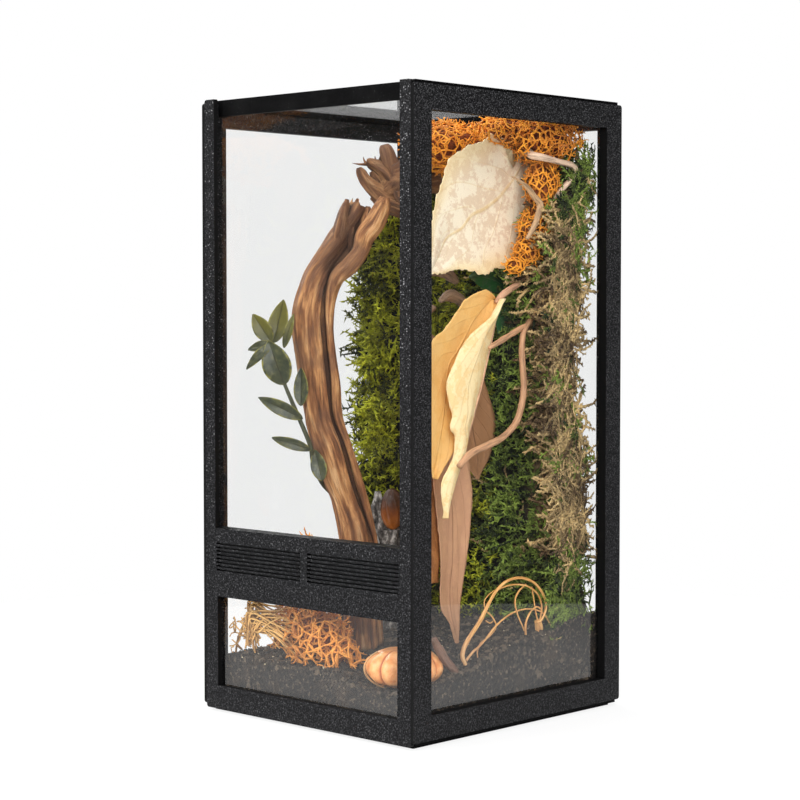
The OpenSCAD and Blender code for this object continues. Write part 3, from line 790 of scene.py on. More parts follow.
# ---- moss ----
class TERRARIUM_OT_moss(BuildStep):
    """Build the sheet moss: a dark mat under green fronds and dried stems"""
    bl_idname = "terrarium.moss"
    bl_label = "Moss wall"

    # By the right wall the mat leaves the back sheet: height and how far back it reaches
    BACK_EDGE = [(20, 45), (34, 44), (44, 40.5), (52, 42), (65, 40), (81, 41.5), (97, 37.3),
                 (113, 35.6), (129, 38), (150, 40.4), (171, 43.5), (200, 44.5)]
    # Fronds in one mesh, and different fronds of each kind
    PER_PIECE, SHAPES = 2500, 10
    # No frond stands further left in the photo's view, nor behind the crown piece
    LEFT_END, CROWN_X, CROWN_Z = -19, -28, 150
    # To the right of EDGE_X the fronds end at the mat's rear edge; low in that corner they thin out
    EDGE_X, LOW_X, LOW_Z, THINNED = 34, 30, 42, 0.4
    # The mat keeps behind the pale leaf between these heights; its foremost line runs from this
    # x and y to the right front at this slope
    LEAF_LOW, LEAF_HIGH = 147, 188
    LEAF_X, LEAF_Y, LEAF_SLOPE = 25, 31, 1.04

    def execute(self, context):
        setting = context.scene.terrarium_moss
        rng = random.Random(4)
        low, high = node_box("moss_wall")
        mat = self.mat_finish(setting)
        finish_piece("moss_mat", self.mat(low, high), mat, ["moss_wall"])
        length = setting.frond / MM
        fresh = [self.frond(random.Random(k), length, 12, 2.3, 0.5, 0.44)
                 for k in range(self.SHAPES)]
        dry = [self.frond(random.Random(40 + k), length * 1.25, 12, 1.5, 1.1, 0.64)
               for k in range(self.SHAPES)]
        faces = [t for t in surface_of("moss_wall")
                 if t[1].y < 0.35 and t[1].z > -0.6]
        groups = {"fresh": [], "green": [], "dry": []}
        wall = [t for t in faces if t[1].x > 0.8]
        spots = random_spots(rng, faces, setting.fronds)
        spots += random_spots(rng, wall, setting.fronds // 3)
        for place, normal in spots:
            kind = self.kind(rng, place)
            if place.dot(ACROSS) < self.LEFT_END:
                continue
            if place.x < self.CROWN_X and place.z > self.CROWN_Z:
                continue
            if (place.x > self.EDGE_X
                    and place.y > self.back_edge(place.z) - 1.6 + rng.uniform(-2, 2)):
                continue
            if place.y < self.leaf_line(place.x, place.z) + 1.5:
                continue
            if place.x > self.LOW_X and place.z < self.LOW_Z and rng.random() < self.THINNED:
                continue
            groups[kind].append(self.frond_spot(rng, place, normal))
        limits = [(-ROOM_X + CLEAR, ROOM_FRONT, low.z),
                  (ROOM_X - CLEAR, ROOM_BACK - CLEAR, ROOM_TOP - 1)]
        shades = {"fresh": (setting.fresh, shade(48, 54, 12)),
                  "green": (setting.green, shade(36, 48, 18)),
                  "dry": (setting.dry, shade(92, 70, 44))}
        for kind, spots in groups.items():
            shapes = dry if kind == "dry" else fresh
            skin = self.frond_finish(kind, *shades[kind])
            for k in range(0, len(spots), self.PER_PIECE):
                name = f"moss_{kind}_{k // self.PER_PIECE + 1}"
                mesh = scatter(name, shapes, spots[k:k + self.PER_PIECE], limits)
                finish_piece(name, mesh, skin, flat=True)
        return {"FINISHED"}

    def leaf_line(self, x, z):
        """How far back the moss has to keep, so that it stays behind the pale leaf."""
        if self.LEAF_LOW < z < self.LEAF_HIGH and 20 < x < 37:
            return self.LEAF_Y - self.LEAF_SLOPE * (x - self.LEAF_X)
        return ROOM_FRONT

    def back_edge(self, z):
        for (z0, y0), (z1, y1) in zip(self.BACK_EDGE, self.BACK_EDGE[1:]):
            if z <= z1:
                return y0 + (y1 - y0) * (z - z0) / (z1 - z0)
        return self.BACK_EDGE[-1][1]

    def kind(self, rng, place):
        """Fresh to the left, green in the middle, dried stems by the right wall. The fresh moss's
        brighter yellow-green is partly its own tone and partly painted light, as it is lit from the
        left.
        """
        if place.x < 10 + rng.gauss(0, 3):
            return "fresh"
        start = 36 + 5 * smooth((100 - place.z) / 30) + 4 * noise.noise(place * 0.08)
        dryness = (smooth((place.dot(ACROSS) - start) / 5) * smooth((place.z - 42) / 18)
                   * smooth((166 - place.z + 8 * noise.noise(place * 0.1)) / 12))
        patch = smooth((noise.noise(place * 0.16 + Vector((3, 9, 1))) + 0.12) / 0.3)
        return "dry" if rng.random() < (0.55 + 0.4 * patch) * dryness + 0.04 else "green"

    def frond_spot(self, rng, place, normal):
        way = random_way(rng)
        if abs(normal.x) > 0.7:
            way.x *= 0.15
            heading = (way + Vector((0, -0.2, 0.1))).normalized()
            place = place - normal * rng.uniform(0.3, 1.8)
        else:
            heading = (normal * 0.75 + way * 0.8 + Vector((0, 0, -0.15))).normalized()
            place = place - normal * rng.uniform(1.5, 3)
        turn = heading.to_track_quat("Z", "Y").to_matrix().to_4x4()
        spin = Matrix.Rotation(rng.uniform(0, 6.3), 4, "Z")
        size = rng.uniform(0.5, 1.05)
        stood = Matrix.Translation(place) @ turn @ spin @ Matrix.Scale(size, 4)
        return rng.randrange(self.SHAPES), stood

    def frond(self, rng, length, leaflets, leaflet, curl, thick):
        """A bent stem with small pointed leaflets all along it."""
        bm = bmesh.new()
        spans = 3
        points = [Vector((0, 0, 0))]
        way = Vector((0, 0, 1))
        for _ in range(spans):
            way = (way + random_way(rng) * curl * 0.6).normalized()
            points.append(points[-1] + way * length / spans)
        for k in range(spans):
            cone(bm, points[k], points[k + 1], thick * (1 - 0.22 * k), thick * (0.78 - 0.22 * k))
        for k in range(leaflets):
            at = (0.15 + 0.85 * k / leaflets) * spans
            i = min(int(at), spans - 1)
            base = points[i].lerp(points[i + 1], at - i)
            ahead = (points[i + 1] - points[i]).normalized()
            out = (random_way(rng) - ahead * 0.3).normalized()
            tip = base + (ahead * 0.75 + out).normalized() * leaflet * rng.uniform(0.7, 1.3)
            cone(bm, base, tip, thick * 1.05, 0)
        bmesh.ops.triangulate(bm, faces=bm.faces)
        return mesh_of(bm, "frond")

    def mat(self, low, high):
        """The mat deep in the moss, a little behind the CAD moss, cut away at the right rear; its
        near-black colour is painted shade.
        """
        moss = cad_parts["moss_wall"]
        bm = bmesh.new()
        grid = bmesh.ops.create_grid(bm, x_segments=70, y_segments=110, size=1)["verts"]
        margin = 2.6
        width = high.x - margin
        tall = (high.z - margin - low.z) / 2
        loose = 18
        for v in grid:
            x, z = v.co.x * width, low.z + tall * (v.co.y + 1)
            if x < -loose:
                drawn_in = (0.8 + 0.5 * noise.noise(Vector((4, 0, z * 0.09)))
                            + 0.25 * noise.noise(Vector((8, 0, z * 0.3))))
                x = -loose + (x + loose) * min(drawn_in, 1)
            hit, spot, _, _ = moss.ray_cast(Vector((x, ROOM_FRONT, z)) * MM, Vector((0, 1, 0)))
            front = spot.y / MM if hit else ROOM_BACK - 8
            rough = (1.3 * noise.noise(Vector((x, z, 3)) * 0.35)
                     + 0.8 * noise.noise(Vector((x, z, 7)) * 0.9))
            v.co = (x, max(front + margin + rough, self.leaf_line(x, z)), z)
        for v in skirt(bm):
            edge = self.back_edge(v.co.z) - 2.2 + 1.6 * noise.noise(Vector((0, 0, v.co.z * 0.4)))
            corner = edge + max(0, width - v.co.x - 1) * 1.15
            v.co.y = max(v.co.y + 0.5, min(ROOM_BACK - 0.4, corner))
        bmesh.ops.holes_fill(bm, edges=rims(bm), sides=0)
        bmesh.ops.triangulate(bm, faces=[f for f in bm.faces if len(f.verts) > 4])
        bmesh.ops.recalc_face_normals(bm, faces=bm.faces)
        return bm

    def mat_finish(self, setting):
        finish = Finish("moss_mat", Roughness=0.95)
        threads = finish.grain(0.8, detail=5, stretch=(1, 1, 3), rough=0.75)
        # Painted shade: the mat's green runs to near black, standing in for the shade deep between
        # the fronds
        green = finish.ramp(threads, (0.4, shade(10, 10, 5)), (0.62, setting.deep),
                            (0.85, shade(84, 84, 30)))
        brown = finish.ramp(threads, (0.35, shade(60, 46, 31)), (0.5, shade(110, 88, 62)),
                            (0.66, shade(160, 134, 98)))
        place = finish.split(finish.place)
        s = finish.plus(finish.times(place["X"], ACROSS.x), finish.times(place["Y"], ACROSS.y))
        level = finish.times(finish.steps(place["Z"], 0.046, 0.06),
                             finish.steps(place["Z"], 0.172, 0.16))
        front = finish.mix(finish.times(finish.steps(s, 0.036, 0.042), level), green, brown)
        underside = finish.ramp(finish.grain(2.4, detail=6, stretch=(1, 1, 2), rough=0.75),
                                (0.36, shade(34, 28, 17)), (0.52, shade(78, 64, 38)),
                                (0.7, shade(126, 106, 66)))
        facing = finish.facing("Y")
        finish.colour(finish.mix(finish.steps(facing, 0.3, 0.5), front, underside))
        return finish.bump(threads, 0.45)

    def frond_finish(self, kind, light, dark):
        finish = Finish(f"moss_{kind}", Roughness=0.75)
        tone = finish.value("tone")
        fleck = finish.grain(2.2, detail=3)
        share = finish.plus(finish.times(tone, 0.7), finish.times(fleck, 0.35))
        clump = finish.minus(finish.grain(11, detail=2), 0.47)
        share = finish.plus(share, finish.times(clump, 2.1 if kind == "dry" else 1.3))
        bright = tuple(min(1, c * 1.4) for c in light)
        finish.colour(finish.ramp(share, (0.25, dark), (0.7, light), (1.0, bright)))
        return finish.material


# ---- driftwood ----
TRUNK = [[-8.2, -14.5, 11, 6.9], [-8.3, -15.5, 33, 6.3], [-8.1, -17.4, 56, 5.9],
         [-10.7, -19.4, 68.5, 5.0], [-12.7, -20.9, 75.7, 5.3], [-15.4, -22.9, 86.7, 5.8],
         [-18.2, -24.9, 97, 5.3], [-20.1, -25.7, 112.7, 5.5], [-21.6, -26.2, 128.4, 5.9],
         [-20.9, -25, 138, 5.2], [-19.2, -23.2, 144, 5.4], [-15.6, -19.4, 150.5, 6.1],
         [-12.6, -16.4, 156.5, 5.8], [-10.4, -14.2, 161, 5.4], [-9.2, -12.8, 165, 5.0]]
RIDGE = [[-1.9, -14.6, 50, 0.7], [-2.3, -15.6, 57, 0.8], [-4.9, -17.6, 68.7, 1.35],
         [-8.9, -20.8, 86.8, 1.2], [-12, -22.9, 97.2, 1.6], [-13.1, -23.2, 108.7, 1.6],
         [-14.7, -23.8, 123.2, 1.3], [-15, -23.4, 134, 1.7], [-13.7, -21.8, 141.8, 2.6],
         [-10.5, -18.4, 146.4, 3.1], [-8.5, -16, 150.6, 2.9], [-7.4, -14.6, 155.8, 3.5],
         [-5.4, -12.4, 159.9, 3.4], [-3.8, -10.6, 165, 2.8], [-3.2, -9.8, 168.4, 1.6]]
PRONGS = [[[-15, -20.6, 150, 1.0], [-13.9, -19.8, 157, 2.6], [-12.9, -18.6, 164.3, 1.8],
           [-12.5, -18, 167.8, 0.7]],
          [[-12.2, -17, 150, 1.0], [-11.6, -16.4, 157, 2.2], [-11.3, -15.6, 164.4, 1.3],
           [-10.7, -14.9, 168.1, 0.4]],
          [[-9.4, -14.6, 150, 1.0], [-8.6, -14, 157, 2.4], [-8, -13.4, 163, 1.6],
           [-7.6, -12.8, 165.4, 0.5]]]
CROWN = [[[-4.5, 35, 166, 4.4], [-6.5, 27, 175, 5.4], [-12, 16, 178, 6.4], [-17.5, 10.5, 175, 6],
          [-20.5, 7, 170.5, 3.4], [-21.8, 5, 167.6, 1]],
         [[-12, 13.5, 166, 4.2], [-15.4, 10.4, 170, 3.9], [-16.9, 9.3, 176, 3.4],
          [-18.4, 8.2, 181.3, 2.9], [-19.7, 7.5, 185.6, 2.4], [-20.1, 7.2, 187.4, 1.4]],
         [[-14, 11.6, 166.4, 4], [-18, 8, 168.6, 3.6], [-21.2, 5, 171.6, 3], [-24, 2.4, 175, 2.2],
          [-25.6, 1.2, 178.4, 1.5], [-26, 0.9, 179.6, 0.8]],
         [[-16, 10, 168, 3.6], [-18.6, 8, 171.4, 3.2], [-20.9, 5.9, 175, 2.6],
          [-22.7, 4.3, 178.6, 1.4]],
         [[-14, 12, 170, 3.8], [-17.5, 8.8, 175, 3.6], [-20.4, 6.2, 179, 3],
          [-23.3, 3.6, 181.2, 1.8], [-24.2, 2.8, 181.6, 1]],
         [[-12, 14, 165, 3.6], [-16.2, 9.7, 166.2, 3.2], [-19.6, 6.4, 167.4, 2.4],
          [-22.6, 3.8, 170, 1.2]]]
THORNS = [[[-24, 3, 180.8, 0.6], [-26, 1.2, 180.8, 0.35], [-27.8, -0.4, 181.2, 0.05]],
          [[-24, 3, 180.6, 0.6], [-24.8, 2.4, 182, 0.35], [-25.2, 2.2, 183.4, 0.05]],
          [[-21.2, 6, 181, 0.8], [-21.1, 6.1, 182.6, 0.4], [-20.9, 6.3, 184, 0.08]],
          [[-22, 5.2, 180.8, 0.7], [-22.2, 5.1, 182.4, 0.35], [-22.4, 5, 183.6, 0.06]]]


class TERRARIUM_OT_driftwood(BuildStep):
    """Build the driftwood trunk with its ridge and prongs, and the crown piece"""
    bl_idname = "terrarium.driftwood"
    bl_label = "Driftwood"

    # Middle of the weathered hollow near the trunk's top, where the wood is painted darker as shade
    HOLLOW = (-12.8, -17.6, 156.5)

    def execute(self, context):
        setting = context.scene.terrarium_wood
        depth = setting.groove
        shaped_piece(wrap, "driftwood_trunk_grain", self.wood(setting), "driftwood",
                     ["driftwood_trunk"], (TRUNK, 96, 230, self.trunk_form(depth)),
                     (RIDGE, 28, 170, grooves(depth * 1.3, 1.4, 18, 5)),
                     *((prong, 20, 24, grooves(0.3, 1.5, 9, 9 + k))
                       for k, prong in enumerate(PRONGS)))
        shaped_piece(wrap, "driftwood_crown_splinters", self.wood(setting, "driftwood_grey", 0.45),
                     "driftwood", ["driftwood_crown"],
                     *((one, 36, 50, grooves(0.34, 1.7, 11, 20 + k))
                       for k, one in enumerate(CROWN)), *((thorn, 8, 8) for thorn in THORNS))
        return {"FINISHED"}

    def trunk_form(self, depth):
        grain = grooves(depth)
        facing = math.radians(285)

        def form(angle, along, place):
            share, _ = grain(angle, along, place)
            slow = noise.noise(Vector((math.cos(angle), math.sin(angle), place.z / 22)))
            share += 0.1 * slow
            scar = smooth((place.z - 141) / 8) * bell(turn_gap(angle, facing), 0.85)
            knot = bell(turn_gap(angle, math.radians(205)), 0.22) * bell(place.z - 103.5, 4)
            seam = bell(turn_gap(angle, math.radians(322)), 0.16) * smooth((place.z - 40) / 10)
            share -= 0.62 * scar + 0.35 * knot + 0.3 * seam
            tear = 2.6 * smooth((along - 0.94) / 0.06) * noise.noise(
                Vector((math.cos(angle) * 2.5, math.sin(angle) * 2.5, 1)))
            return max(share, 0.25), tear
        return form

    def wood(self, setting, name="driftwood", greyed=0.0):
        finish = Finish(name, Roughness=0.68)
        run = finish.run()
        fibres = finish.grain(0.6, detail=5, stretch=(1, 1, 16), place=run, rough=0.7)
        streaks = finish.grain(1.9, detail=5, stretch=(1, 1, 9), place=run, bend=0.3)
        patches = finish.grain(16, detail=3)
        base = finish.ramp(streaks, (0.32, shade(82, 52, 34)), (0.45, setting.mid),
                           (0.58, setting.light), (0.72, shade(236, 192, 142)))
        fine = finish.times(finish.steps(fibres, 0.5, 0.32), 0.75)
        base = finish.mix(fine, base, shade(88, 56, 38))
        base = finish.mix(finish.times(finish.steps(patches, 0.48, 0.62), 0.55), base,
                          shade(112, 78, 58))
        # Painted shade: darker where the surface is sunk in and round the hollow near the top
        recess_shade = finish.steps(finish.value("sunk"), 0.12, 0.4)
        off = finish.add("VectorMath", {0: finish.place, 1: [c * MM for c in self.HOLLOW]},
                         operation="SUBTRACT")
        flat = finish.add("VectorMath", {0: off.outputs[0], 1: (1, 1, 0.45)}, operation="MULTIPLY")
        reach = finish.add("VectorMath", {0: flat.outputs[0]}, operation="LENGTH").outputs["Value"]
        recess_shade = finish.most(recess_shade, finish.steps(reach, 5.4 * MM, 3.6 * MM))
        base = finish.mix(finish.times(recess_shade, 0.75), base, shade(78, 50, 35))
        # Painted shade: the dark colour is laid into cracks and hollows where occlusion finds them
        hollow = finish.add("AmbientOcclusion", {"Distance": 3.5 * MM}, samples=6)
        base = finish.mix(greyed, base, shade(92, 70, 54))
        unshaded_share = finish.steps(hollow.outputs["AO"], 0.25, 0.8)
        finish.colour(finish.mix(unshaded_share, setting.dark, base))
        height = finish.plus(fibres, finish.times(streaks, 0.8))
        return finish.bump(height, 0.8)


# ---- leaves ----
class TERRARIUM_OT_sprig(BuildStep):
    """Build the sprig of small oval leaves"""
    bl_idname = "terrarium.sprig"
    bl_label = "Leafy sprig"

    STEM = [[-14, -15, 14, 0.8], [-14.4, -15.6, 44, 0.8], [-15.6, -18, 66, 0.8],
            [-17.6, -24.6, 75, 0.8], [-15.6, -30.6, 82, 0.78], [-14.8, -32.8, 88, 0.75],
            [-17.9, -35.6, 98.1, 0.7], [-21, -38, 107.3, 0.6], [-22.8, -39.2, 114, 0.5],
            [-24.2, -40.4, 121.2, 0.45]]
    # Base, tip, width and how far the blade bends towards the camera
    BLADES = [
        [[-24.6, -40.6, 121.3], [-29.6, -44.2, 130.2], 5.6, 0.6],
        [[-24.2, -40.2, 121], [-22.2, -37.4, 135], 6.2, -0.6],
        [[-21.7, -37.9, 119.4], [-19.6, -35.4, 130.4], 2.6, 0.3],
        [[-24.4, -40.4, 120.9], [-31, -45.6, 112.6], 3.0, 2.2],
        [[-24.4, -40.4, 120.9], [-30.6, -45.2, 118.8], 3.2, 1.2],
        [[-20.9, -38.2, 107.4], [-24.8, -41.8, 121.6], 9.2, 1.0],
        [[-16.3, -34.6, 96.5], [-27.3, -43.8, 103.4], 4.6, 1.6],
        [[-17.4, -34.4, 100.6], [-18.1, -33.6, 113], 4.6, -0.4],
        [[-14.2, -33, 86.5], [-23.8, -41.4, 90.4], 3.4, 1.2],
        [[-11.3, -30.7, 76.4], [-14.2, -31.4, 86.4], 5.0, -0.4],
    ]

    def execute(self, context):
        setting = context.scene.terrarium_leaf
        shaped_piece(wrap, "sprig_stem", stem_finish("sprig_stem", shade(70, 72, 52)),
                     "foliage_green", [], (self.STEM, 14, 70))
        shaped_piece(self.blade, "sprig_leaves", self.skin(setting), "foliage_green",
                     ["plant_sprig"], *self.BLADES)
        return {"FINISHED"}

    def blade(self, bm, base, tip, width, bend):
        """An oval blade, creased along its middle, that faces the front corner."""
        layer = run_layer(bm)
        base, tip = Vector(base), Vector(tip)
        towards = Vector((0.62, -0.78, 0.12))
        along = tip - base
        side = towards.cross(along).normalized()
        grid = bmesh.ops.create_grid(bm, x_segments=12, y_segments=24, size=1)["verts"]
        for v in grid:
            u, t = v.co.x, (v.co.y + 1) / 2
            half = width / 2 * math.sin(math.pi * min(max(t, 0.0), 1.0) ** 0.85) ** 0.75 + 0.12
            crease = 0.22 * abs(u) * half
            arc = bend * math.sin(math.pi * t) + 0.15 * noise.noise(Vector((u * 2, t * 4, base.z)))
            v.co = base + along * t + side * (u * half) + towards * (crease + arc)
            v[layer] = (u, t, 0)
        thicken(bm, grid, 0.28)

    def skin(self, setting):
        finish = Finish("sprig_leaf", Roughness=0.38)
        across, along, _ = finish.split(finish.run())
        edge = finish.size(across)
        mottle = finish.grain(1.6, detail=4)
        base = finish.ramp(mottle, (0.3, shade(46, 52, 40)), (0.55, setting.olive),
                           (0.8, shade(104, 100, 62)))
        high = finish.height()
        tops = finish.times(finish.steps(high, 0.119, 0.128), 0.75)
        base = finish.mix(tops, base, shade(98, 92, 22))
        rim_share = finish.times(finish.steps(edge, 0.74, 1.0), finish.steps(mottle, 0.35, 0.65))
        base = finish.mix(rim_share, base, setting.rim)
        rib = finish.steps(edge, 0.07, 0.02)
        finish.colour(finish.mix(rib, base, shade(60, 58, 44)))
        return finish.bump(finish.minus(mottle, rib), 0.12)


def stem_finish(name, colour):
    finish = Finish(name, Roughness=0.6)
    run = finish.run()
    lines = finish.grain(0.5, detail=4, stretch=(1, 1, 12), place=run)
    dark = tuple(c * 0.45 for c in colour)
    light = tuple(min(1, c * 1.35) for c in colour)
    finish.colour(finish.ramp(lines, (0.3, dark), (0.5, colour), (0.75, light)))
    return finish.bump(lines, 0.15)


def leaf_finish(name, colour, blotch, vein, veins=9, spots=0.5, warm=None, drawn=0.5,
                relief_depth=0.2):
    """A dried leaf: blotches, a midrib and slanted side veins."""
    finish = Finish(name, Roughness=0.62)
    across, along, _ = finish.split(finish.run())
    edge = finish.size(across)
    slant = finish.minus(finish.times(along, veins), finish.times(edge, 2.2))
    saw = finish.size(finish.minus(finish.maths("FRACT", slant), 0.5))
    wobble = finish.grain(5, detail=2)
    side_vein = finish.steps(finish.plus(saw, finish.times(wobble, 0.06)), 0.075, 0.035)
    rib = finish.steps(edge, 0.045, 0.012)
    lines = finish.most(rib, finish.times(side_vein, 0.5))
    cloud = finish.grain(4.6, detail=8, rough=0.74, bend=0.2)
    fleck = finish.grain(1.3, detail=3, rough=0.7)
    base = finish.mix(finish.times(finish.steps(cloud, 0.48, 0.54), spots), colour, blotch)
    base = finish.mix(finish.times(finish.steps(fleck, 0.62, 0.72), 0.35), base,
                      tuple(c * 0.72 for c in blotch))
    if warm:
        base = finish.mix(finish.times(finish.steps(edge, 0.55, 1.0), 0.6), base, warm)
    finish.colour(finish.mix(finish.times(lines, drawn), base, vein))
    relief = finish.plus(finish.times(cloud, 0.5), lines)
    return finish.bump(relief, relief_depth)


def in_plane(x, edge):
    """Leaf edge points [y, z] in an upright plane x."""
    return [(x, y, z) for y, z in edge]


class TERRARIUM_OT_leaves(BuildStep):
    """Build the dried and green leaves by the right wall"""
    bl_idname = "terrarium.leaves"
    bl_label = "Leaves"

    PALE_TOP = [[33.8, 184.2], [33, 186.4], [30.4, 188.2], [26, 187.9], [21.7, 189.2], [17, 187.6],
                [13, 188.4], [7.5, 186], [-1, 183.4], [-7.8, 178.8], [-11.6, 172.2], [-14.9, 164],
                [-16.2, 152], [-16.6, 143.6]]
    PALE_LOW = [[34, 183.4], [34.4, 181.6], [32.3, 178.4], [30.2, 173.5], [29.9, 166.7],
                [28.3, 160.3], [27.5, 155], [24.2, 150.4], [19.4, 145.6], [12.5, 145.2],
                [6.8, 143.2], [-1.7, 144.6], [-8.5, 143.8], [-16, 142.8]]
    FOLD_BACK = [[12.4, 135.7], [6.9, 138.2], [-2.3, 135.1], [-6.1, 131.6], [-12.9, 125.5],
                 [-18.6, 121], [-20, 108], [-20.2, 96], [-19.6, 87], [-17, 78.6]]
    FOLD_LINE = [[12.6, 134.6], [10.6, 128], [8, 121.8], [5.6, 116.9], [3, 111.9], [1.2, 107],
                 [-1.1, 101], [-4, 94], [-9, 86], [-16, 78.2]]
    # The flap's two edges, at the same heights
    FLAP_EDGE = [[11.6, 135.2], [6.2, 129], [-1, 125], [-6.4, 120.6], [-11.1, 114.2],
                 [-14.4, 108.2], [-13.4, 103], [-11.6, 98.6], [-12.6, 94.4], [-10.2, 91.6],
                 [-10.6, 86], [-13.8, 81.4], [-16.5, 77.4], [-16.4, 72.6], [-15.7, 69], [-15, 66]]
    FLAP_FOLD = [[12, 135.4], [10.9, 130.6], [9.4, 125.4], [7.6, 119.6], [5.6, 113.6], [3.8, 108],
                 [1.6, 102.6], [-0.2, 98], [-1.6, 94.6], [-3, 91], [-4.8, 86.6], [-6.4, 82.4],
                 [-8.2, 78], [-11.2, 72.4], [-13.2, 69], [-14.8, 66]]
    STRIP_LEFT = [[-10, 90], [-12.5, 80], [-11.6, 70], [-9.9, 60], [-9, 50], [-9.4, 42],
                  [-8.6, 35.6], [-4.6, 29.6], [-0.9, 22]]
    STRIP_RIGHT = [[2, 92], [4, 84], [5.9, 72], [5, 61], [3.2, 50], [1.2, 42], [0.2, 34.6], [0, 28],
                   [-0.2, 21.6]]
    UNDER_LEFT = [[-18, 92], [-20, 80], [-20, 66], [-19, 54], [-17.5, 44]]
    UNDER_RIGHT = [[-8, 92], [-9, 80], [-8.6, 66], [-7.6, 54], [-8, 44]]
    BROWN_LEFT = [[8, 118], [1, 112], [-2, 101], [-2, 90], [4, 82], [9.6, 76.4]]
    BROWN_RIGHT = [[9.4, 118], [12.6, 110.4], [16.6, 101.4], [19, 94], [16.6, 84.6], [11, 76.4]]
    PALE_STALK = [[25.4, 27, 184.2, 1.7], [31, 22, 183, 1.5], [36.6, 17.6, 181.4, 1.3],
                  [40.4, 18.2, 180.6, 1.2], [41, 25, 179.7, 0.95], [40.8, 32.4, 178.8, 1.0],
                  [40.4, 34.4, 176.8, 1.05], [40.2, 31.6, 173.6, 0.95], [39.6, 28, 170.4, 0.9],
                  [37, 27, 166, 0.8]]
    FOLD_STALK = [[26.2, 11.4, 134, 0.8], [26.6, 14.4, 136.6, 1.15], [27, 19, 139, 1.1],
                  [28, 24.5, 141.4, 0.9], [28, 33, 143, 0.8]]
    # Green blades: two edges each
    GREEN = [
        ([(17, 27, 139), (18, 20, 144.6), (19.4, 11, 146), (20, 5.6, 142.8)],
         [(17, 27, 137.6), (18, 21, 137.4), (19.4, 12, 139), (20, 5.2, 142.2)]),
        ([(17.6, 27, 138), (18.4, 22, 136), (19.2, 19.6, 130), (19.8, 19.6, 123.6)],
         [(17.6, 28, 137), (18.4, 28, 133), (19.2, 26.6, 128), (19.8, 20.4, 123.4)]),
        ([(14, 25, 133), (13, 20, 136), (12.4, 15, 136.6), (12, 9, 133)],
         [(14, 25, 132), (13, 20, 130), (12.4, 15, 130), (12, 8.8, 132.6)]),
    ]

    def execute(self, context):
        setting = context.scene.terrarium_leaf
        self.pale_leaf(setting)
        self.folded_leaf(setting)
        self.dry_leaves(setting)
        self.green_leaves()
        return {"FINISHED"}

    def pale_leaf(self, setting):
        def lift(u, t):
            wave = noise.noise(Vector((u * 1.6, t * 5, 2)))
            return 0.9 - 1.2 * (1 - abs(u)) + 0.9 * wave + 0.5 * math.sin(26 * t) * abs(u) ** 3
        low = [(y, z) if y < 6 else (y + 1.8, z) for y, z in self.PALE_LOW]
        edges = [[(25.2, y - 2.9, z) for y, z in edge] for edge in (self.PALE_TOP, low)]
        skin = leaf_finish("pale_leaf", setting.pale, setting.blotch, shade(232, 198, 128), 7, 0.85,
                           shade(244, 212, 146), 0.5, 0.15)
        shaped_piece(leaf_sheet, "pale_leaf_blade", skin, "pale_leaf_skin", ["pale_leaf"],
                     (*edges, 40, 120, lift, 0.9))
        shaped_piece(wrap, "pale_leaf_stalk", stem_finish("pale_stalk", shade(214, 184, 158)),
                     "pale_leaf_skin", [], (self.PALE_STALK, 14, 90, None, UP))

    def folded_leaf(self, setting):
        def bulge(u, t):
            return -1.8 * (1 - u * u) + 0.5 * noise.noise(Vector((u * 2, t * 6, 6)))

        def flap(u, t):
            wave = noise.noise(Vector((u * 2, t * 7, 9)))
            return 0.5 + 1.9 * (1 - u * u) + 0.6 * (1 - u) + 0.4 * wave
        amber = leaf_finish("amber_leaf", setting.amber, shade(240, 186, 104), shade(228, 172, 96),
                            8, 0.7, drawn=0.25)
        shaped_piece(leaf_sheet, "folded_leaf_back", amber, "amber_leaf_skin", ["folded_leaf"],
                     (in_plane(25.4, self.FOLD_BACK), in_plane(26, self.FOLD_LINE), 20, 70, bulge))
        pale_amber = leaf_finish("amber_flap", shade(250, 226, 174), shade(242, 202, 134),
                                 shade(230, 186, 120), 8, 0.6, drawn=0.2)
        shaped_piece(leaf_sheet, "folded_leaf_flap", pale_amber, "amber_leaf_skin", [],
                     (in_plane(26.2, self.FLAP_EDGE), in_plane(26.2, self.FLAP_FOLD), 18, 90, flap))
        rim = [(27, y, z, 0.42) for y, z in self.FLAP_FOLD[:-1]]
        shaped_piece(wrap, "folded_leaf_rib", stem_finish("amber_rib", shade(206, 160, 128)),
                     "amber_leaf_skin", [], (self.FOLD_STALK, 14, 40, None, RIGHT), (rim, 10, 90))

    def dry_leaves(self, setting):
        def curl(u, t):
            return -1.6 * (1 - u * u) * (1 - t) + 0.5 * noise.noise(Vector((u * 2, t * 6, 12)))
        tan = leaf_finish("tan_leaf", setting.tan, shade(204, 156, 118), shade(140, 92, 56), 3, 0.6)
        under = leaf_finish("under_leaf", shade(176, 116, 62), shade(140, 86, 42),
                            shade(120, 70, 34), 3, 0.6)
        brown = leaf_finish("brown_leaf", setting.brown, shade(150, 110, 76), shade(110, 74, 46), 6,
                            0.6)
        blades = (
            ("strip_leaf_blade", tan, ["strip_leaf"],
             in_plane(21, self.STRIP_LEFT), in_plane(21, self.STRIP_RIGHT), 20, 90),
            ("strip_leaf_under", under, [],
             in_plane(18.4, self.UNDER_LEFT), in_plane(18.8, self.UNDER_RIGHT), 12, 40),
            ("brown_leaf_blade", brown, ["brown_leaf"],
             in_plane(19.4, self.BROWN_LEFT), in_plane(19.4, self.BROWN_RIGHT), 16, 50),
        )
        for name, skin, node, *sheet in blades:
            shaped_piece(leaf_sheet, name, skin, "tan_leaf_skin", node, (*sheet, curl))

    def green_leaves(self):
        green = leaf_finish("green_leaf", shade(30, 88, 38), shade(66, 84, 62), shade(92, 122, 70),
                            8, 0.7)

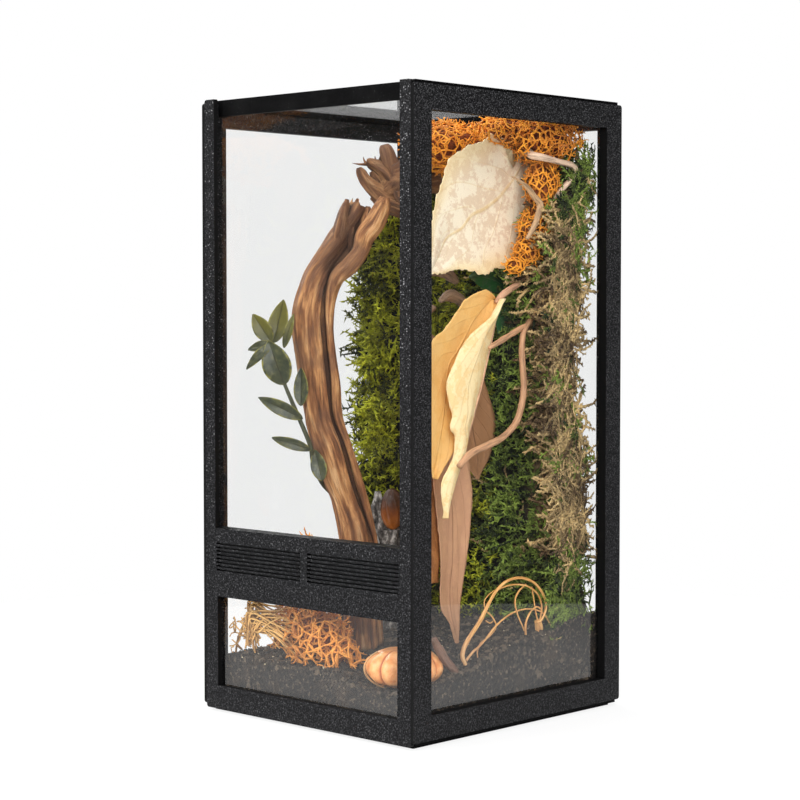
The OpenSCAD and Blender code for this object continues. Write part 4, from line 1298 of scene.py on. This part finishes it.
        def arched(k):
            return lambda u, t: 0.9 * (1 - abs(u)) + 0.3 * noise.noise(Vector((u, t * 4, k)))
        shaped_piece(leaf_sheet, "green_leaf_blades", green, "foliage_green", ["green_leaves"],
                     *((*edges, 12, 30, arched(k)) for k, edges in enumerate(self.GREEN)))


# ---- stems, tendril ----
CLIMB = [[34, -14.9, 82.6, 1.0], [34, -9.7, 86.3, 1.15], [34, -2.1, 88.5, 1.15],
         [34, 5.7, 90.8, 1.05], [34, 12.2, 95, 1.05], [34, 15.2, 100.5, 1.1],
         [34, 16.4, 106.7, 1.1], [34, 15.8, 113, 1.05], [34, 15.4, 119, 1.0], [33.6, 17, 125, 0.95],
         [32, 24, 130, 0.9]]
CLIMB_BRANCH = [[33, 19, 127, 0.6], [33, 15.5, 125.6, 0.9], [33, 10, 123.4, 0.95],
                [33, 5, 121.4, 0.9], [33, 0.4, 119.6, 0.6]]
TWIG = [[39.6, 3.4, 174, 0.2], [40.2, 7.2, 172.4, 0.5], [40.4, 10.6, 170.6, 0.75],
        [40.4, 14, 167.8, 0.95], [40.4, 16.6, 165.6, 1.2], [40.4, 15.8, 162.4, 0.95],
        [40.4, 13.2, 157.8, 0.85], [39.8, 10.8, 154.4, 0.6]]
ROOT = [[38.5, -31.6, 30.6, 1.0], [38.2, -28.6, 26.6, 1.35], [38, -25, 22.8, 1.5],
        [38, -21.6, 19.4, 1.35], [38, -19.4, 16.4, 1.0], [38, -17, 13.8, 0.4]]
ROOTLET = [[38.6, -20.6, 17.6, 0.6], [38.8, -18.4, 16.8, 0.7], [39, -16.6, 15.4, 0.3]]
TENDRIL = [[[40.6, -19.2, 21.4, 0.56], [40.6, -20.6, 24.6, 0.62], [40.6, -18.4, 28.6, 0.62],
            [40.6, -12.6, 34, 0.59], [40.6, -8.8, 38.6, 0.5], [40.6, -4.6, 43, 0.42],
            [40.6, 0.6, 45.6, 0.4], [40.6, 7.4, 46, 0.4], [40.6, 14.2, 43.6, 0.39],
            [40.6, 18.9, 39, 0.35], [40.4, 20.2, 34.8, 0.34], [40, 18.4, 31, 0.34],
            [39.6, 16.8, 30.4, 0.35]],
           [[40.4, -18.6, 22.6, 0.34], [40, -15, 24.8, 0.35], [39.8, -12.4, 25.8, 0.29],
            [39.8, -8.9, 27.9, 0.28], [39.8, -4.5, 31.3, 0.28], [39.8, 1.4, 34.1, 0.25],
            [39.8, 7.4, 35.4, 0.22], [39.8, 13.5, 35.2, 0.21], [39.8, 19.2, 33.4, 0.21],
            [39.8, 22.8, 29.6, 0.2], [39.8, 23.4, 26.4, 0.15]],
           [[40.2, -4.8, 42.8, 0.21], [40, 0, 43.8, 0.24], [40, 5, 44, 0.24],
            [40, 11.2, 42.9, 0.24], [40, 16.4, 39.9, 0.24], [40, 18.6, 35.6, 0.24],
            [39.6, 18.2, 31.2, 0.24]],
           [[39.6, -9.1, 38.1, 0.15], [39.6, -9, 40.4, 0.15], [39.6, -6.6, 42.2, 0.15],
            [39.8, -4, 43.2, 0.17]],
           [[39, -7.1, 36.4, 0.2], [39, -4.3, 34.2, 0.21], [39, -2.9, 31.2, 0.21],
            [39, -6, 28.6, 0.21], [39, -10.2, 26.8, 0.21], [39, -11.8, 24.2, 0.21],
            [39, -10.8, 21, 0.2], [39, -7.4, 18, 0.18], [39, -2.2, 17.2, 0.14]],
           [[40, 10.6, 43.6, 0.21], [40, 6.8, 41.4, 0.24], [40, 5.2, 38.4, 0.24],
            [40, 6.6, 34, 0.22], [39.6, 9.6, 29.8, 0.2], [39.4, 10.4, 28.4, 0.14]],
           [[39, 13.6, 21.6, 0.28], [39.4, 11.4, 26.4, 0.32], [39.4, 11.4, 31, 0.31],
            [39.6, 13.6, 34.4, 0.25], [39.6, 16.6, 35.6, 0.24], [39.6, 19.2, 34.2, 0.22]],
           [[39.6, 14, 42.4, 0.14], [39.6, 15, 38.4, 0.18], [39.4, 16.2, 34, 0.21],
            [39.2, 17.6, 30.6, 0.28]],
           [[39.4, -8.2, 33.8, 0.13], [39.4, -6.2, 32.8, 0.14], [39.4, -4.6, 33.4, 0.08]],
           [[39.4, 13.6, 17, 0.11], [39.4, 17, 16.2, 0.18], [39.4, 20, 16.6, 0.15],
            [39.4, 22, 18.4, 0.08]],]
STUMP = [[39, 17.6, 31, 1.0], [39, 18.2, 29.4, 1.25], [39, 18.6, 26.8, 1.15], [39, 19.2, 23.6, 1.0],
         [38.6, 20, 19, 0.9]]


class TERRARIUM_OT_stems(BuildStep):
    """Build the climbing stem, the twig, the root and the curly tendril"""
    bl_idname = "terrarium.stems"
    bl_label = "Stems and tendril"

    # Share by which the dry tendril is thicker than its route says
    SWELL = 1.15

    def execute(self, context):
        def knobbly(angle, along, place):
            return 1 + 0.16 * noise.noise(place * 0.5) + 0.05 * noise.noise(place * 1.7), 0
        stem = context.scene.terrarium_leaf.stem
        shaped_piece(wrap, "climbing_stem_skin", stem_finish("climbing_stem", stem), "stem_brown",
                     ["climbing_stem"], (CLIMB, 16, 120, knobbly, RIGHT),
                     (CLIMB_BRANCH, 14, 30, knobbly, UP))
        shaped_piece(wrap, "lichen_twig", stem_finish("twig", shade(186, 150, 112)), "stem_brown",
                     [], (TWIG, 14, 60, grooves(0.3, 1.5, 4, 3), RIGHT))
        shaped_piece(wrap, "root_bark", stem_finish("root", shade(120, 88, 70)), "stem_brown",
                     ["root_piece"], (ROOT, 18, 50, grooves(0.35, 1.5, 5, 8), RIGHT),
                     (ROOTLET, 10, 10, None, RIGHT))
        loops = [[(x, y, z, r * self.SWELL) for x, y, z, r in line] for line in TENDRIL]
        shaped_piece(wrap, "tendril_loops", self.tendril_finish(), "tendril_tan", ["curly_tendril"],
                     *((line, 10, 10 * len(line), knobbly, RIGHT) for line in loops),
                     (STUMP, 16, 24, grooves(0.3, 1.5, 4, 2), RIGHT))
        return {"FINISHED"}

    def tendril_finish(self):
        finish = Finish("tendril", Roughness=0.5)
        run = finish.run()
        lines = finish.grain(0.4, detail=3, stretch=(1, 1, 14), place=run)
        warm = finish.ramp(lines, (0.3, shade(160, 104, 52)), (0.5, shade(216, 158, 86)),
                           (0.75, shade(246, 206, 138)))
        low = finish.steps(finish.height(), 0.034, 0.024)
        finish.colour(finish.mix(finish.times(low, 0.55), warm, shade(166, 124, 98)))
        return finish.bump(lines, 0.12)


# ---- lichen ----
class TERRARIUM_OT_lichen(BuildStep):
    """Build the branching lichen as a lattice of thin strands"""
    bl_idname = "terrarium.lichen"
    bl_label = "Lichen"

    # Centre, half sizes and distance between the knots of each tuft
    TOP = [((4, 14, 185.6), (14, 19, 8.2), 1.7), ((32.2, 29, 187), (9, 14.5, 8.4), 1.6),
           ((34, 25.4, 171), (5, 6, 11), 1.6), ((33.8, 22.4, 158), (5, 6.4, 6), 1.6),
           ((33.2, 19, 150.4), (4.4, 5, 4.6), 1.6), ((32.6, 14, 146.2), (3, 3.8, 2.6), 1.5),
           ((24, 22, 189.5), (8, 16, 6), 1.7)]
    LOW = [((-10.5, -34.5, 27), (13.4, 6.8, 12), 2.5), ((-16, -32.4, 45.4), (4.4, 4, 13), 2.8),
           ((3, -35.6, 21), (5.6, 5.4, 7.4), 2.8), ((-24, -31, 27), (9, 6, 10), 2.6)]
    # Nested shells of a tuft, and tries at a knot in one with a half diagonal of TUFT
    SHELLS, TRIES, TUFT = 3, 1500, 12
    # Neighbours that a knot is joined to, how far off in gaps, and share of knots with a tip
    NEIGHBOURS, REACH, TIPPED = 3, 2.6, 0.85
    # Long strings and small loops of the stringy lichen
    STRINGS, LOOPS = 44, 26

    def execute(self, context):
        setting = context.scene.terrarium_lichen
        rng = random.Random(21)
        strand = setting.strand / MM
        orange = self.strand_finish("lichen_orange", setting.orange, setting.rust)
        core = self.core_finish(setting)
        for k, tuft in enumerate(self.TOP):
            name = f"lichen_top_strands_{k + 1}"
            lines = self.lattice(rng, *tuft, strand * 0.5)
            finish_piece(name, self.kept_in(name, lines), orange,
                         [] if k else ["lichen_top"])
        finish_piece("lichen_top_core", self.core(self.TOP, 0.66), core)
        lows = [line for tuft in self.LOW for line in self.lattice(rng, *tuft, strand * 0.72)]
        low_finish = self.strand_finish("lichen_low", shade(244, 164, 72), shade(150, 84, 40))
        finish_piece("lichen_low_strands", self.kept_in("lichen_low_strands", lows), low_finish,
                     ["lichen_low"])
        finish_piece("lichen_low_core", self.core(self.LOW[::3], 0.55), core)
        straw = self.strand_finish("lichen_straw", setting.straw, shade(134, 86, 44))
        finish_piece("lichen_strings", self.kept_in("lichen_strings", self.strings(rng)), straw,
                     ["lichen_tan"])
        return {"FINISHED"}

    def kept_in(self, name, lines):
        """Strands as a mesh that stays inside the clear sheets and under the lid."""
        mesh = strand_mesh(name, lines)
        co = np.zeros(len(mesh.vertices) * 3)
        mesh.vertices.foreach_get("co", co)
        co = co.reshape(-1, 3)
        low = (-ROOM_X + CLEAR, ROOM_FRONT + CLEAR, 9)
        high = (ROOM_X - CLEAR, ROOM_BACK - CLEAR, ROOM_TOP - 1.2)
        mesh.vertices.foreach_set("co", pressed_in(co, low, high, 0.8).reshape(-1))
        return mesh

    def lattice(self, rng, centre, half, gap, radius):
        """Knots spread over nested shells of an oval tuft, joined to their neighbours."""
        centre, half = Vector(centre), Vector(half)
        lines = []
        for layer in range(self.SHELLS):
            share = 1 - 0.2 * layer
            knots = []
            for _ in range(int(self.TRIES * half.length / self.TUFT * share)):
                way = random_way(rng)
                bumpy = share * (1 + 0.16 * noise.noise(way * 2.3 + centre))
                spot = centre + Vector(w * h * bumpy for w, h in zip(way, half))
                if all((spot - other).length > gap for other in knots):
                    knots.append(spot)
            for i, knot in enumerate(knots):
                near = sorted((other for other in knots if other is not knot),
                              key=lambda other: (other - knot).length)[:self.NEIGHBOURS]
                for other in near:
                    if (other - knot).length > self.REACH * gap:
                        continue
                    bow = random_way(rng) * gap * 0.18
                    middle = (knot + other) / 2 + bow
                    thick = radius * rng.uniform(0.75, 1.3)
                    lines.append([(*knot, thick * 1.25), (*middle, thick * 0.8),
                                  (*other, thick * 1.25)])
                if layer == 0 and rng.random() < self.TIPPED:
                    lines += self.tips(rng, knot, (knot - centre).normalized(), gap, radius)
        return lines

    def tips(self, rng, knot, out, gap, radius):
        """A short forked branch that stands out of the tuft."""
        fork = knot + (out + random_way(rng) * 0.7).normalized() * gap * rng.uniform(0.4, 0.9)
        lines = [[(*knot, radius), (*fork, radius * 0.8)]]
        for _ in range(2):
            tip = fork + (out + random_way(rng)).normalized() * gap * rng.uniform(0.3, 0.6)
            lines.append([(*fork, radius * 0.8), (*tip, radius * 0.35)])
        return lines

    def strings(self, rng):
        """A fan of long strings that bend over to the right, and small loops at their left."""
        lines = []
        for k in range(self.STRINGS):
            share = k / (self.STRINGS - 1)
            foot = Vector((-34 + rng.uniform(-1.5, 2.5), -41 + rng.uniform(-2, 2),
                           20 + 8 * share + rng.uniform(-1, 1)))
            knee = Vector((-34 + 5 * share + rng.uniform(-2, 2), -41 + rng.uniform(-2.5, 2.5),
                           26 + 10 * (1 - share) + rng.uniform(-1, 1)))
            far = Vector((-18 + rng.uniform(-5, 4), -38 + rng.uniform(-4, 3),
                          19.5 + 16 * rng.random()))
            middle = (knee + far) / 2 + Vector((0, 0, 2.4 * rng.random() - 0.2))
            route = spline([(*foot, 0.3), (*knee, 0.32), (*middle, 0.28), (*far, 0.16)], 5)
            lines.append([tuple(p) for p in route])
        for _ in range(self.LOOPS):
            centre = Vector((-38.5 + rng.uniform(-3, 5), -40 + rng.uniform(-4, 3),
                             18.5 + rng.uniform(0, 14)))
            a, b = random_way(rng), random_way(rng)
            r = rng.uniform(1.2, 2.8)
            sweep = np.linspace(0, rng.uniform(3, 5.8), 9)
            turns = [centre + (a * math.cos(t) + b * math.sin(t)) * r for t in sweep]
            lines.append([(*p, 0.24) for p in turns])
        stalk = spline([(-44, -41, 17, 0.5), (-40.6, -40, 25, 0.55), (-37.2, -39, 32, 0.5),
                        (-35, -38, 37, 0.4)], 5)
        lines.append([tuple(p) for p in stalk])
        return lines

    def core(self, tufts, share):
        bm = bmesh.new()
        for centre, half, _ in tufts:
            made = bmesh.ops.create_icosphere(bm, subdivisions=4, radius=1)["verts"]
            for v in made:
                rough = share * (1 + 0.25 * noise.noise(v.co * 3 + Vector(centre))
                                 + 0.12 * noise.noise(v.co * 8))
                v.co = Vector(centre) + Vector(c * h * rough for c, h in zip(v.co, half))
        return bm

    def strand_finish(self, name, colour, dark):
        finish = Finish(name, Roughness=0.6)
        cloud = finish.grain(4, detail=3)
        # Painted shade: the dark colour is laid in deep in the tuft by occlusion
        deep = finish.add("AmbientOcclusion", {"Distance": 3 * MM}, samples=4).outputs["AO"]
        light = tuple(min(1, c * 1.25) for c in colour)
        skin = finish.ramp(cloud, (0.3, tuple(c * 0.75 for c in colour)), (0.5, colour),
                           (0.75, light))
        skin = finish.mix(finish.times(finish.steps(finish.grain(9), 0.5, 0.62), 0.55), skin, dark)
        finish.colour(finish.mix(finish.steps(deep, 0.05, 0.6), dark, skin))
        return finish.bump(finish.grain(0.5), 0.08)

    def core_finish(self, setting):
        finish = Finish("lichen_core", Roughness=0.9)
        threads = finish.grain(1.2, detail=5, rough=0.7)
        finish.colour(finish.ramp(threads, (0.35, shade(70, 34, 16)), (0.6, setting.rust),
                                  (0.85, shade(190, 108, 44))))
        return finish.bump(threads, 0.8)


# ---- pod, bark and bud ----
class TERRARIUM_OT_pod(BuildStep):
    """Build the dried ribbed pod"""
    bl_idname = "terrarium.pod"
    bl_label = "Pumpkin pod"

    RIBS = 10
    # Height of the stalk above the ball
    STALK_HIGH = 3.2

    def execute(self, context):
        setting = context.scene.terrarium_lichen
        low, high = node_box("pumpkin_pod")
        radius = (high.x - low.x) / 2
        centre = Vector(((high.x + low.x) / 2, (high.y + low.y) / 2, 0))
        tall = (high.z - low.z - self.STALK_HIGH) / 2
        centre.z = low.z + tall
        bm = bmesh.new()
        rib_layer = bm.verts.layers.float.new("rib")
        ball = bmesh.ops.create_uvsphere(bm, u_segments=120, v_segments=40, radius=1)["verts"]
        for v in ball:
            angle = math.atan2(v.co.y, v.co.x)
            round_share = math.hypot(v.co.x, v.co.y)
            swell = abs(math.cos(self.RIBS * angle / 2)) ** 0.7
            v[rib_layer] = swell
            share = 1 - 0.17 * (1 - swell) * min(round_share * 1.6, 1)
            dimple = 0.22 * bell(round_share, 0.4)
            rough = 0.01 * noise.noise(v.co * 7)
            v.co = centre + Vector((v.co.x * radius * share * (1 + rough),
                                    v.co.y * radius * share * (1 + rough),
                                    v.co.z * tall * (1 - dimple)))
        finish_piece("pod_skin", bm, self.skin(setting), ["pumpkin_pod"])
        bm = bmesh.new()
        top = centre + Vector((0, 0, tall * 0.74))
        wrap(bm, [(*(top + Vector((0, 0, -1.5))), 2.4), (*(top + Vector((0, 0, 0.8))), 1.6),
                  (*(top + Vector((0.4, -0.3, 3))), 1.2), (*(top + Vector((1.3, -0.9, 4.6))), 1.3)],
             16, 20, grooves(0.4, 2, 4, 1))
        rim = []
        for turn in np.linspace(-1.1, 0.85, 9):
            spot = centre + ACROSS * -(radius + 0.2) * math.cos(turn) + FRONT * 2.2
            rim.append((*(spot + Vector((0, 0, tall * math.sin(turn) * 1.02))), 0.32))
        wrap(bm, rim, 8, 30)
        finish_piece("pod_stalk", bm, stem_finish("pod_stalk", shade(206, 158, 104)))
        return {"FINISHED"}

    def skin(self, setting):
        finish = Finish("pod", Roughness=0.32)
        rib = finish.value("rib")
        mottle = finish.grain(2.4, detail=4)
        base = finish.ramp(mottle, (0.3, shade(226, 136, 66)), (0.55, setting.pod),
                           (0.8, shade(250, 196, 138)))
        # Painted shade: darker in the grooves between the ribs
        base = finish.mix(finish.steps(rib, 0.5, 0.15), base, shade(188, 100, 48))
        low = finish.steps(finish.height(), 0.0175, 0.0155)
        scab = finish.times(low, finish.steps(finish.grain(1.2, detail=4), 0.48, 0.56))
        finish.colour(finish.mix(scab, base, shade(84, 48, 26)))
        return finish.bump(mottle, 0.2)


class TERRARIUM_OT_bark(BuildStep):
    """Build the bark behind the trunk and the amber bud on it"""
    bl_idname = "terrarium.bark"
    bl_label = "Bark and bud"

    ROUTE = [[-13, 8, 20, 6.2], [-13.4, 6.4, 38, 5.8], [-13.8, 5, 50, 5.6], [-14, 4.4, 58, 4.6]]
    FLAKE = [[-15, 4, 48, 3.4], [-16.6, 2.4, 58, 3.2], [-17.4, 1.6, 65, 2.5],
             [-17.6, 1.4, 70.5, 1.0]]
    CHIPS = [[[14, -7.6, 142.4, 0.5], [14, -4, 144.6, 1.7], [14, 1, 144, 1.9], [14, 6, 141, 1.2]],
             [[14, -2, 134.6, 0.7], [14, 3, 136.4, 1.8], [14, 9, 134.4, 1.7], [14, 13, 131, 0.8]],
             [[14, -12, 123, 0.8], [14, -8.6, 123.4, 1.3], [14, -4, 121.4, 1.1]],
             [[15, -12.6, 128, 0.6], [15, -9.4, 131, 1.3], [15, -6, 132.4, 0.9]]]

    def execute(self, context):
        shaped_piece(wrap, "bark_skin", self.bark_finish(), "bark_grey", ["bark_piece"],
                     (self.ROUTE, 60, 60, grooves(0.3, 2, 8, 31)),
                     (self.FLAKE, 40, 50, grooves(0.5, 2, 5, 37)))
        shaped_piece(wrap, "bark_chips", stem_finish("bark_chip", shade(132, 108, 88)), "bark_grey",
                     [], *((chip, 22, 30, grooves(0.4, 1.6, 6, 50 + k), UP)
                           for k, chip in enumerate(self.CHIPS)))
        low, high = node_box("amber_bud")
        bm = bmesh.new()
        centre, half = (low + high) / 2 + Vector((0, 0, 1.4)), (high - low) / 2
        for v in bmesh.ops.create_icosphere(bm, subdivisions=5, radius=1)["verts"]:
            fold = 0.08 * math.sin(9 * math.atan2(v.co.y, v.co.x) + 3 * v.co.z)
            share = 1 + fold * (1 - v.co.z * v.co.z) + 0.05 * noise.noise(v.co * 3)
            v.co = centre + Vector((v.co.x * half.x * share, v.co.y * half.y * share,
                                    v.co.z * half.z))
        finish_piece("bud_skin", bm, self.bud_finish(), ["amber_bud"])
        return {"FINISHED"}

    def bark_finish(self):
        finish = Finish("bark", Roughness=0.85)
        flakes = finish.grain(2.2, detail=6, stretch=(1, 1, 2), rough=0.7)
        finish.colour(finish.ramp(flakes, (0.36, shade(20, 17, 16)), (0.5, shade(104, 100, 96)),
                                  (0.64, shade(214, 210, 204))))
        return finish.bump(flakes, 1.0)

    def bud_finish(self):
        finish = Finish("bud", Roughness=0.4)
        height = finish.height()
        cloud = finish.grain(2.6, detail=4)
        level = finish.plus(height, finish.times(cloud, 6 * MM))
        finish.colour(finish.ramp(finish.steps(level, 0.058, 0.073), (0.1, shade(196, 112, 22)),
                                  (0.6, shade(142, 78, 30)), (0.95, shade(74, 44, 26))))
        return finish.bump(cloud, 0.4)


# ---- stage ----
class TERRARIUM_OT_stage(BuildStep):
    """Set up the floor, the lamps, the surroundings and the camera"""
    bl_idname = "terrarium.stage"
    bl_label = "Stage"

    # Middle of the body
    AIM = Vector((0, 0, 0.1))
    # Where the camera stands, and its heading from +Y towards +X and its tilt
    CAMERA = (0.4627, -0.4910, 0.1327)
    HEADING = -43.661
    TILT = -2.606
    # From the camera to the backdrop, and how bright the room is in mirrors and as light
    BEHIND = (-0.690, 0.723, 0)
    DIM_ROOM, ROOM_LIGHT = 0.05, 0.55
    # Share of the floor's own glow where the camera sees it, and how its mirror image fades:
    # from one distance off the middle to another, in metres, down to a share
    FLOOR_GLOW = 0.82
    FADE_FROM, FADE_TO, FADED = 0.08, 0.33, 0.35
    # Lamps point at the middle of the body. Place, size and share of the key light's power
    LAMPS = {"key": ((-0.42, -0.80, 0.62), 0.6, 1.0), "right": ((0.68, -0.55, 0.48), 0.6, 1.1),
             "top": ((0.05, -0.05, 1.0), 0.8, 0.8), "rear_left": ((-0.75, 0.25, 0.5), 0.5, 0.7)}

    def execute(self, context):
        setting = context.scene.terrarium_stage
        scene = context.scene
        scene.view_settings.view_transform = "Standard"
        self.floor(setting)
        self.surroundings(scene)
        for name, (place, size, share) in self.LAMPS.items():
            lamp = bpy.data.lights.new(f"lamp_{name}", "AREA")
            lamp.size = size
            lamp.energy = setting.key * share
            holder = bpy.data.objects.new(f"lamp_{name}", lamp)
            holder.location = place
            holder.rotation_euler = (self.AIM - Vector(place)).to_track_quat("-Z", "Y").to_euler()
            scene.collection.objects.link(holder)
        camera = bpy.data.cameras.new("camera")
        camera.lens = setting.lens
        eye = bpy.data.objects.new("camera", camera)
        eye.location = self.CAMERA
        eye.rotation_euler = (math.radians(90 + self.TILT), 0, math.radians(-self.HEADING))
        scene.collection.objects.link(eye)
        scene.camera = eye
        return {"FINISHED"}

    def floor(self, setting):
        bm = bmesh.new()
        bmesh.ops.create_circle(bm, cap_ends=True, segments=96, radius=setting.floor_radius)
        mesh = mesh_of(bm, "floor")
        finish = Finish("floor", Roughness=0.9)
        finish.shader.inputs["Base Color"].default_value = solid((0.86, 0.86, 0.86))
        path = finish.add("LightPath").outputs
        # What the camera sees directly, through a clear sheet or in a mirror
        seen = finish.most(finish.most(path["Is Camera Ray"], path["Is Glossy Ray"]),
                           path["Is Transmission Ray"])
        reach = finish.add("VectorMath", {0: finish.place}, operation="LENGTH").outputs["Value"]
        near = finish.add("MapRange", {"Value": reach, "From Min": self.FADE_FROM,
                                       "From Max": self.FADE_TO, "To Min": 1.0,
                                       "To Max": self.FADED}).outputs[0]
        mirror_dim = finish.times(path["Is Glossy Ray"], finish.minus(1, near))
        glow = finish.add("Emission", {"Color": (1, 1, 1, 1),
                                       "Strength": finish.minus(1, mirror_dim)})
        finish.surface(finish.blended(finish.times(seen, self.FLOOR_GLOW), finish.shader, glow))
        mesh.materials.append(finish.material)
        floor = bpy.data.objects.new("floor", mesh)
        bpy.context.scene.collection.objects.link(floor)

    def surroundings(self, scene):
        """White behind the object, a dim room elsewhere for what the clear sheets mirror."""
        scene.world = bpy.data.worlds.new("studio")
        nodes = Nodes(scene.world)
        nodes.tree.nodes.clear()
        path = nodes.add("LightPath").outputs
        way = nodes.add("TexCoord").outputs["Generated"]
        facing = nodes.add("VectorMath", {0: way, 1: self.BEHIND}, operation="DOT_PRODUCT")
        backdrop = nodes.add("MapRange", {"Value": facing.outputs["Value"], "From Min": 0.35,
                                          "From Max": 0.6}).outputs[0]
        glossy = path["Is Glossy Ray"]
        strength = nodes.plus(nodes.times(glossy, nodes.most(backdrop, self.DIM_ROOM)),
                              nodes.times(nodes.minus(1, glossy), self.ROOM_LIGHT))
        seen = nodes.most(path["Is Camera Ray"], path["Is Transmission Ray"])
        light = nodes.add("Background", {"Color": (1, 1, 1, 1),
                                         "Strength": nodes.most(strength, seen)})
        nodes.add("OutputWorld", {"Surface": light.outputs[0]})


STEPS = (
    TERRARIUM_OT_stage, TERRARIUM_OT_case, TERRARIUM_OT_sheets, TERRARIUM_OT_soil,
    TERRARIUM_OT_moss, TERRARIUM_OT_driftwood, TERRARIUM_OT_sprig, TERRARIUM_OT_leaves,
    TERRARIUM_OT_stems, TERRARIUM_OT_lichen, TERRARIUM_OT_pod, TERRARIUM_OT_bark,
)


class TERRARIUM_PT_panel(bpy.types.Panel):
    """Lists the steps that build the terrarium"""
    bl_label = "Terrarium"
    bl_idname = "TERRARIUM_PT_panel"
    bl_space_type = "VIEW_3D"
    bl_region_type = "UI"
    bl_category = "Terrarium"

    def draw(self, context):
        for step in STEPS:
            self.layout.operator(step.bl_idname)


def register():
    for settings in SETTINGS.values():
        bpy.utils.register_class(settings)
    for name, settings in SETTINGS.items():
        setattr(bpy.types.Scene, name, PointerProperty(type=settings))
    for step in STEPS:
        bpy.utils.register_class(step)
    bpy.utils.register_class(TERRARIUM_PT_panel)


def unregister():
    bpy.utils.unregister_class(TERRARIUM_PT_panel)
    for step in reversed(STEPS):
        bpy.utils.unregister_class(step)
    for name, settings in SETTINGS.items():
        delattr(bpy.types.Scene, name)
        bpy.utils.unregister_class(settings)


def main():
    register()
    for step in STEPS:
        group, name = step.bl_idname.split(".")
        getattr(getattr(bpy.ops, group), name)()


if __name__ == "__main__":
    main()
